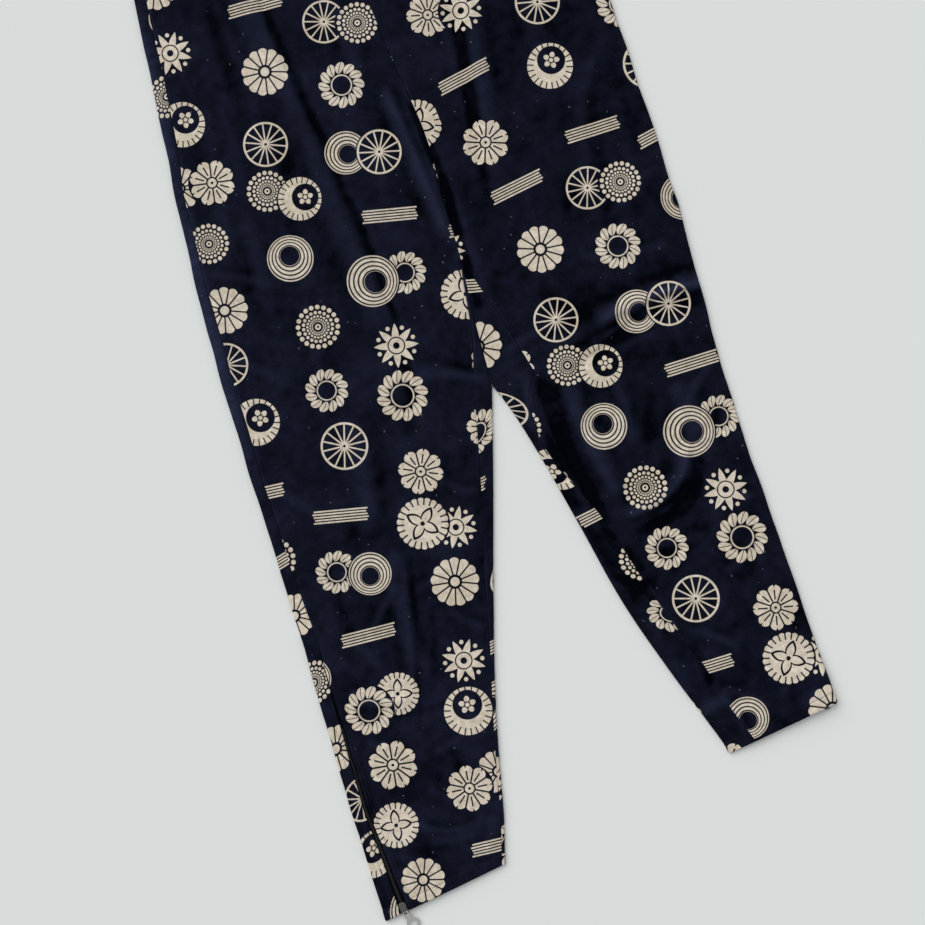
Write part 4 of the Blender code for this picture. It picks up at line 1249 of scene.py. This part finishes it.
def print_group():
    """The print on flat cloth: half-drop cells, each with one roundel or two that overlap, and
    between the cells of a column another roundel or a block of five short lines. It gives how much
    print there is. Places within a cell are in millimetres from its middle."""
    if "roundel print" in bpy.data.node_groups:
        return bpy.data.node_groups["roundel print"]
    put = values().cloth
    tree = bpy.data.node_groups.new("roundel print", "ShaderNodeTree")
    tree.interface.new_socket("Cloth", in_out="INPUT", socket_type="NodeSocketVector")
    tree.interface.new_socket("Print", in_out="OUTPUT", socket_type="NodeSocketFloat")
    enter, leave = tree.nodes.new("NodeGroupInput"), tree.nodes.new("NodeGroupOutput")
    wide, tall, radius = put.repeat_across / MM, put.repeat_down / MM, put.roundel / MM
    u, v, _ = separate(tree, enter.outputs[0])
    across = u * (1 / put.repeat_across)
    cell_x = across.floor()
    drop = cell_x.modulo(2.0) * 0.25

    def places(start):
        """The row of the cell that a point is in, and its place in the cell."""
        down = v * (1 / put.repeat_down) + drop + start
        row = down.floor()
        return row, (across - cell_x - 0.5) * wide, (down - row - 0.5) * tall

    def disc(x, y, centre_x, centre_y, size):
        """A point's place on a disc of radius 1, and its distance from the disc's middle."""
        x, y = (x - centre_x) / size, (y - centre_y) / size
        return x, y, (x * x + y * y).root()

    # The roundel in the middle of each cell, or the overlapping pair
    main_row, at_x, at_y = places(0.0)
    move_x, move_y, _ = chance(tree, cell_x, main_row, 1.0)
    _, turn, pair_chance = chance(tree, cell_x, main_row, 2.0)
    lean, size, side = chance(tree, cell_x, main_row, 3.0)
    pair = pair_chance.under(0.45)
    angle = (lean - 0.5) * 0.95 + side.over(0.5) * pi
    step_x, step_y = angle.cosine() * pair * 18.0, angle.sine() * pair * 18.0
    ease = 1 - pair * 0.62
    centre_x, centre_y = (move_x - 0.5) * ease * 24, (move_y - 0.5) * ease * 24
    upper = disc(at_x, at_y, centre_x + step_x, centre_y + step_y, radius * 0.92 + size * 5)
    lower = disc(at_x, at_y, centre_x - step_x, centre_y - step_y, radius * 0.93)

    # The roundel or the block of lines between two cells
    row, at_x, at_y = places(0.5)
    slide, slope, _ = chance(tree, cell_x, row, 4.0)
    sink, size, filled = chance(tree, cell_x, row, 5.0)
    has_roundel = filled.under(0.64)
    centre_x, centre_y = (slide - 0.5) * 26, (sink - 0.5) * 17
    between = disc(at_x, at_y, centre_x, centre_y, radius * 0.90 + size * 4)

    # One motif is laid over each disc: the disc on top decides which, and how far it is turned
    on_upper = upper[2].under(1.06)
    on_lower = lower[2].under(1.06) * pair
    on_between = between[2].under(1.06) * has_roundel

    def top_one(one, two, three):
        return either(on_upper, one, either(on_lower, two, three))

    px, py, r = (top_one(*three) for three in zip(upper, lower, between))
    main_kind = main_row * 2 + cell_x * 5
    index = top_one(main_kind, main_kind + 7, row * 2 + cell_x * 5 + 3).modulo(float(len(MOTIFS)))
    turn = top_one(turn + 0.3, turn, slope) * (2 * pi)
    c, s = turn.cosine(), turn.sine()
    x, y = px * c - py * s, px * s + py * c
    t = y.angle(x) * (1 / (2 * pi))
    shapes = [motif(x, y, r, t) * index.do("COMPARE", float(number), 0.5) for number, motif in enumerate(MOTIFS)]
    roundel = sum(shapes[1:], shapes[0]).edge(0.024) * on_upper.max(on_lower, on_between)

    # Five lines, each a little out of step with the next
    bar_x, bar_y = at_x - centre_x, at_y - centre_y
    bar_y = bar_y - bar_x * (slope - 0.5) * 0.22
    line = bar_y * (1 / 3.1)
    stagger = ((line + 0.5).floor() * 2.3).sine() * 1.1
    block = (29 - (bar_x + stagger).abs()).min(7.6 - bar_y.abs(), (0.26 - line.near()) * 3.1)
    free = 1 - upper[2].under(1.10).max(lower[2].under(1.10) * pair)
    feed(leave, 0, roundel.max(block.edge(0.6) * (1 - has_roundel) * free))
    return tree


def surface(name, roughness, specular, metallic=0.0, sheen=0.0):
    """Turns a function that lays out a shader's nodes into one that gives the finished material.
    The numbers are the constants that the export keeps on the shader."""
    def wrap(lay_out):
        def get():
            material = bpy.data.materials.get(name)
            if material is None:
                material = bpy.data.materials.new(name)
                material.use_nodes = True
                shader = material.node_tree.nodes["Principled BSDF"]
                for place, number in (("Roughness", roughness), ("Specular IOR Level", specular),
                                      ("Metallic", metallic), ("Sheen Weight", sheen), ("Sheen Roughness", 0.45)):
                    shader.inputs[place].default_value = number
                lay_out(material.node_tree, shader)
            return material
        return get
    return wrap


def mixed(tree, amount, first, second):
    """One colour turning into another; a colour may be a tuple or a socket."""
    node = add(tree, "Mix", {})
    node.data_type = "RGBA"
    feed(node, 0, amount)
    for place, colour in ((6, first), (7, second)):
        feed(node, place, (*colour, 1) if isinstance(colour, tuple) else colour)
    return node.outputs[2]


def scaled(colour, *factors):
    """A colour with each part multiplied by its own factor, or by the one given."""
    return tuple(min(1.0, part * factor) for part, factor in zip(colour, factors * (3 // len(factors))))


def noise(tree, source, scale, detail=3.0):
    inputs = {"Scale": scale, "Detail": detail, "Roughness": 0.55, "Vector": source}
    return Number(add(tree, "TexNoise", inputs).outputs["Fac"])


def bump(tree, shader, height, depth, strength):
    """Roughens the shader's normal by a height, with the depth in metres that 1 stands for."""
    node = add(tree, "Bump", {"Distance": depth, "Strength": strength, "Height": height})
    feed(shader, "Normal", node.outputs[0])


def cloth_coordinates(tree):
    node = add(tree, "UVMap", {})
    node.uv_map = "cloth"
    return node.outputs[0]


def object_coordinates(tree):
    return add(tree, "TexCoord", {}).outputs["Object"]


def ink_on(tree, cloth):
    """How much of the print there is at a place on the cloth."""
    group = add(tree, "Group", {})
    group.node_tree = print_group()
    feed(group, 0, cloth)
    return Number(group.outputs[0])


def lint(tree, cloth):
    """Small pale flecks of lint: a dot in some of the cells of a Voronoi pattern."""
    node = add(tree, "TexVoronoi", {"Scale": 95.0, "Vector": cloth})
    hue = separate(tree, node.outputs["Color"], "SeparateColor")
    ragged = noise(tree, cloth, 800.0, 2.0) * 2.4 - 0.2
    size = hue[1] * 0.055 + 0.03
    return (size - Number(node.outputs["Distance"]) * ragged).edge(0.02) * hue[0].over(0.42)


def threads(tree, cloth, pitch):
    """The weave's height: two crossed rows of waves, one thread apart."""
    u, v, _ = separate(tree, cloth)
    return (u * (2 * pi / pitch)).sine() * (v * (2 * pi / pitch)).sine()


@surface("printed navy cloth", 0.88, 0.03)
def cloth_material(tree, shader):
    """Dark navy plain weave with painted light on the folds' ridges and painted shade in their hollows, partly
    real rubbing, and the cream print lying on it.
    """
    put = values().cloth
    cloth = cloth_coordinates(tree)
    grain, patches = noise(tree, cloth, 1500.0, 2.0), noise(tree, cloth, 16.0, 4.0)
    ink = ink_on(tree, cloth) * (1 - (grain - 0.60).edge(0.10) * 0.45)
    # The attribute carries the painted light and shade of the folds, partly wear; the noises add random tone
    height = add(tree, "Attribute", {})
    height.attribute_name = "painted_light_and_wear"
    lit_and_worn = Number(height.outputs["Fac"]) + (patches - 0.5) + (noise(tree, cloth, 85.0, 4.0) - 0.5) * 0.70
    lit_and_worn = lit_and_worn * (1 + (noise(tree, cloth, 420.0) - 0.5) * 0.9)
    # The brightest colour reaches past the pale one, for painted highlights
    highlight_colour = tuple(dark + BRIGHTEST_HIGHLIGHT * (pale - dark) for dark, pale in zip(put.navy, put.lit_and_worn))
    ground = mixed(tree, (lit_and_worn * (1 / BRIGHTEST_HIGHLIGHT)).held(), tuple(put.navy), highlight_colour)
    ground = mixed(tree, lint(tree, cloth), ground, (0.085, 0.095, 0.118))
    fresh = (patches * 1.1 + noise(tree, cloth, 170.0) * 1.9 - 1.15).held()
    cream = mixed(tree, fresh, scaled(put.cream, 0.65, 0.62, 0.56), tuple(put.cream))
    feed(shader, "Base Color", mixed(tree, ink, ground, cream))
    feed(shader, "Roughness", 0.88 - ink * 0.14 + (grain - 0.5) * 0.10)
    bump(tree, shader, threads(tree, cloth, put.weave) * 0.30 + grain * 0.5 + ink * 0.5, 0.09 * MM, 0.55)


@surface("cloth reverse", 0.9, 0.10, sheen=0.03)
def reverse_material(tree, shader):
    """The cloth's inner side: the same navy, duller, with the print showing faintly through."""
    put = values().cloth
    cloth = cloth_coordinates(tree)
    grain = noise(tree, cloth, 1200.0, 2.0)
    through_it = ink_on(tree, cloth) * 0.16 + (grain - 0.5) * 0.05
    feed(shader, "Base Color", mixed(tree, through_it.max(0.0), scaled(put.navy, 1.5), tuple(put.cream)))
    bump(tree, shader, threads(tree, cloth, put.weave) * 0.4 + grain, 0.08 * MM, 0.5)


@surface("sewing thread", 0.6, 0.25)
def thread_material(tree, shader):
    """Twisted polyester thread: fine slanting ridges and a slight shine."""
    x, y, _ = separate(tree, object_coordinates(tree))
    twist = ((x + y * 0.8) * (2 * pi / (0.35 * MM))).sine()
    base = values().stitch.colour
    # Painted light: the twist's crests are painted lighter and its grooves darker
    ridge = (twist * 0.5 + 0.5).max(0.0)
    feed(shader, "Base Color", mixed(tree, ridge, scaled(base, 0.6), scaled(base, 1.4)))
    bump(tree, shader, twist, 0.05 * MM, 0.7)


@surface("zip tape", 0.85, 0.03)
def tape_material(tree, shader):
    """Black woven tape with fine ribs along it."""
    cloth = cloth_coordinates(tree)
    u, v, _ = separate(tree, cloth)
    rib = ((v + u) * (2 * pi / (0.7 * MM))).sine()
    # Painted light: the ribs' crests are painted lighter and their grooves darker
    ridge = (rib * 0.5 + 0.5).max(0.0)
    feed(shader, "Base Color", mixed(tree, ridge, (0.0012, 0.0012, 0.0016), (0.0040, 0.0040, 0.0052)))
    bump(tree, shader, rib + noise(tree, cloth, 2500.0), 0.06 * MM, 0.7)


@surface("zip coil", 0.5, 0.30)
def coil_material(tree, shader):
    """Black moulded coil with random grey flecks, painted highlights on its teeth."""
    base = values().zips.coil
    grain = noise(tree, object_coordinates(tree), 700.0)
    feed(shader, "Base Color", mixed(tree, (grain - 0.45).edge(0.3), tuple(base), scaled(base, 8.0)))
    feed(shader, "Roughness", grain * 0.3 + 0.28)
    bump(tree, shader, grain, 0.03 * MM, 0.4)


def plated(tree, shader, dark, bright):
    """Plated metal: cloudy plating, fine scratches one way, and duller patches where it is handled.
    dark and bright are shares of the plating's colour."""
    base, rough = values().zips.nickel, shader.inputs["Roughness"].default_value
    place = object_coordinates(tree)
    stretch = add(tree, "Mapping", {"Scale": (1.0, 0.06, 1.0), "Rotation": (0, 0, radians(17)), "Vector": place})
    scratch = noise(tree, stretch.outputs[0], 5200.0, 2.0)
    cloud = noise(tree, place, 320.0, 4.0)
    bare = (cloud * 0.8 + scratch * 0.3 - 0.05).held()
    feed(shader, "Base Color", mixed(tree, bare, scaled(base, dark), scaled(base, bright)))
    feed(shader, "Roughness", cloud * 0.22 + scratch * 0.12 + (rough - 0.17))
    bump(tree, shader, scratch + cloud * 0.5, 0.02 * MM, 0.5)


@surface("slider plating", 0.38, 0.5, metallic=1.0)
def slider_material(tree, shader):
    plated(tree, shader, 0.10, 0.34)


@surface("tab plating", 0.30, 0.5, metallic=1.0)
def tab_material(tree, shader):
    plated(tree, shader, 0.85, 1.25)


@surface("pale backdrop paper", 0.95, 0.05)
def floor_material(tree, shader):
    """Pale matt paper with the faintest mottle."""
    base, place = values().stage.floor, object_coordinates(tree)
    feed(shader, "Base Color", mixed(tree, noise(tree, place, 3.0), scaled(base, 0.994), scaled(base, 1.006)))
    bump(tree, shader, noise(tree, place, 900.0), 0.02 * MM, 0.2)


# Stage

def lay_floor():
    """A wide square of paper, a little under the trousers."""
    side = np.linspace(-4, 4, 9)
    x, y = np.meshgrid(side, -side)
    points = np.stack([x, y, np.full(x.shape, -0.2 * MM)], axis=2).reshape(-1, 3)
    mesh = bpy.data.meshes.new("floor")
    mesh.from_pydata(points.tolist(), [], grid_faces(9, 9).tolist())
    mesh.materials.append(floor_material())
    floor = bpy.data.objects.new("floor", mesh)
    bpy.context.scene.collection.objects.link(floor)


def set_lights(scene, put):
    """Even light from all round, and one very soft light from the upper left."""
    scene.world = bpy.data.worlds.new("studio")
    scene.world.use_nodes = True
    sky = scene.world.node_tree.nodes["Background"]
    sky.inputs["Color"].default_value = (0.985, 1.0, 0.995, 1)
    sky.inputs["Strength"].default_value = put.sky
    lamp = bpy.data.lights.new("key", "SUN")
    lamp.energy, lamp.angle = put.sun, radians(64)
    key = bpy.data.objects.new("key", lamp)
    toward = Vector((-0.50, 0.86, 0.95))
    key.rotation_euler = toward.to_track_quat("Z", "Y").to_euler()
    key.location = toward * 3
    scene.collection.objects.link(key)


def set_camera(scene, put):
    """The camera straight above, as far away as its lens needs for the width that it sees."""
    view = bpy.data.cameras.new("camera")
    view.lens, view.sensor_width = put.lens, FILM
    view.clip_start, view.clip_end = 0.05, 50
    scene.camera = bpy.data.objects.new("camera", view)
    scene.camera.location = (*VIEW_MIDDLE, put.width * put.lens / FILM + 4 * MM)
    scene.camera.rotation_euler = (0, 0, put.tilt)
    scene.collection.objects.link(scene.camera)
    scene.view_settings.view_transform = "Standard"
    scene.view_settings.look = "None"


# Operators

class Step(bpy.types.Operator):
    bl_options = {"REGISTER", "UNDO"}

    def execute(self, context):
        self.make(context)
        return {"FINISHED"}


class TROUSERS_OT_fronts(Step):
    """Makes the two front panels' cloth"""
    bl_idname = "trousers.fronts"
    bl_label = "Front panels"

    def make(self, context):
        for side in TABLES:
            front_panel(side)


class TROUSERS_OT_backs(Step):
    """Makes the two back panels' cloth, which the trousers lie on"""
    bl_idname = "trousers.backs"
    bl_label = "Back panels"

    def make(self, context):
        for side in TABLES:
            back_panel(side)


class TROUSERS_OT_waistband(Step):
    """Makes the doubled waistband"""
    bl_idname = "trousers.waistband"
    bl_label = "Waistband"

    def make(self, context):
        waistband()


class TROUSERS_OT_stitching(Step):
    """Sews the stitches that show: round the hems, the waistband and the zips"""
    bl_idname = "trousers.stitching"
    bl_label = "Stitching"

    def make(self, context):
        work = {f"hem_stitches_{side}": hem_thread(side) for side in TABLES}
        work["band_stitches"] = band_threads()
        work.update({f"zip_stitches_{side}": zip_threads(side) for side in TABLES})
        for name, (points, faces) in work.items():
            outside_out(mesh_piece(name, points, faces, [thread_material()]))


class TROUSERS_OT_zips(Step):
    """Makes each zip's tape and closed chain"""
    bl_idname = "trousers.zips"
    bl_label = "Zips"

    def make(self, context):
        for side in TABLES:
            zip_tape(side)
            zip_coil(side)


class TROUSERS_OT_sliders(Step):
    """Makes the two sliders"""
    bl_idname = "trousers.sliders"
    bl_label = "Sliders"

    def make(self, context):
        for side in TABLES:
            slider(side)


class TROUSERS_OT_tabs(Step):
    """Makes the two pull tabs"""
    bl_idname = "trousers.tabs"
    bl_label = "Pull tabs"

    def make(self, context):
        for side in TABLES:
            pull_tab(side)


class TROUSERS_OT_stage(Step):
    """Lays the pale floor and sets the lights and the camera straight above"""
    bl_idname = "trousers.stage"
    bl_label = "Stage"

    def make(self, context):
        lay_floor()
        set_lights(context.scene, values().stage)
        set_camera(context.scene, values().stage)


class TROUSERS_PT_panel(bpy.types.Panel):
    bl_idname = "TROUSERS_PT_panel"
    bl_label = "Ankle-zip trousers"
    bl_space_type = "VIEW_3D"
    bl_region_type = "UI"
    bl_category = "Trousers"

    def draw(self, context):
        put = context.scene.ankle_zip_trousers
        for step in STEPS:
            self.layout.operator(step.bl_idname)
        for group in (put.cloth, put.stitch, put.zips, put.stage):
            box = self.layout.box()
            for name in group.__annotations__:
                box.prop(group, name)


STEPS = (TROUSERS_OT_stage, TROUSERS_OT_fronts, TROUSERS_OT_backs, TROUSERS_OT_waistband,
         TROUSERS_OT_zips, TROUSERS_OT_sliders, TROUSERS_OT_tabs, TROUSERS_OT_stitching)
CLASSES = (ClothValues, StitchValues, ZipValues, StageValues, TrousersValues, *STEPS, TROUSERS_PT_panel)


def register():
    for one in CLASSES:
        bpy.utils.register_class(one)
    bpy.types.Scene.ankle_zip_trousers = PointerProperty(type=TrousersValues)


def unregister():
    del bpy.types.Scene.ankle_zip_trousers
    for one in reversed(CLASSES):
        bpy.utils.unregister_class(one)


def main():
    register()
    for step in STEPS:
        getattr(bpy.ops.trousers, step.bl_idname.split(".")[1])()


if __name__ == "__main__":
    main()
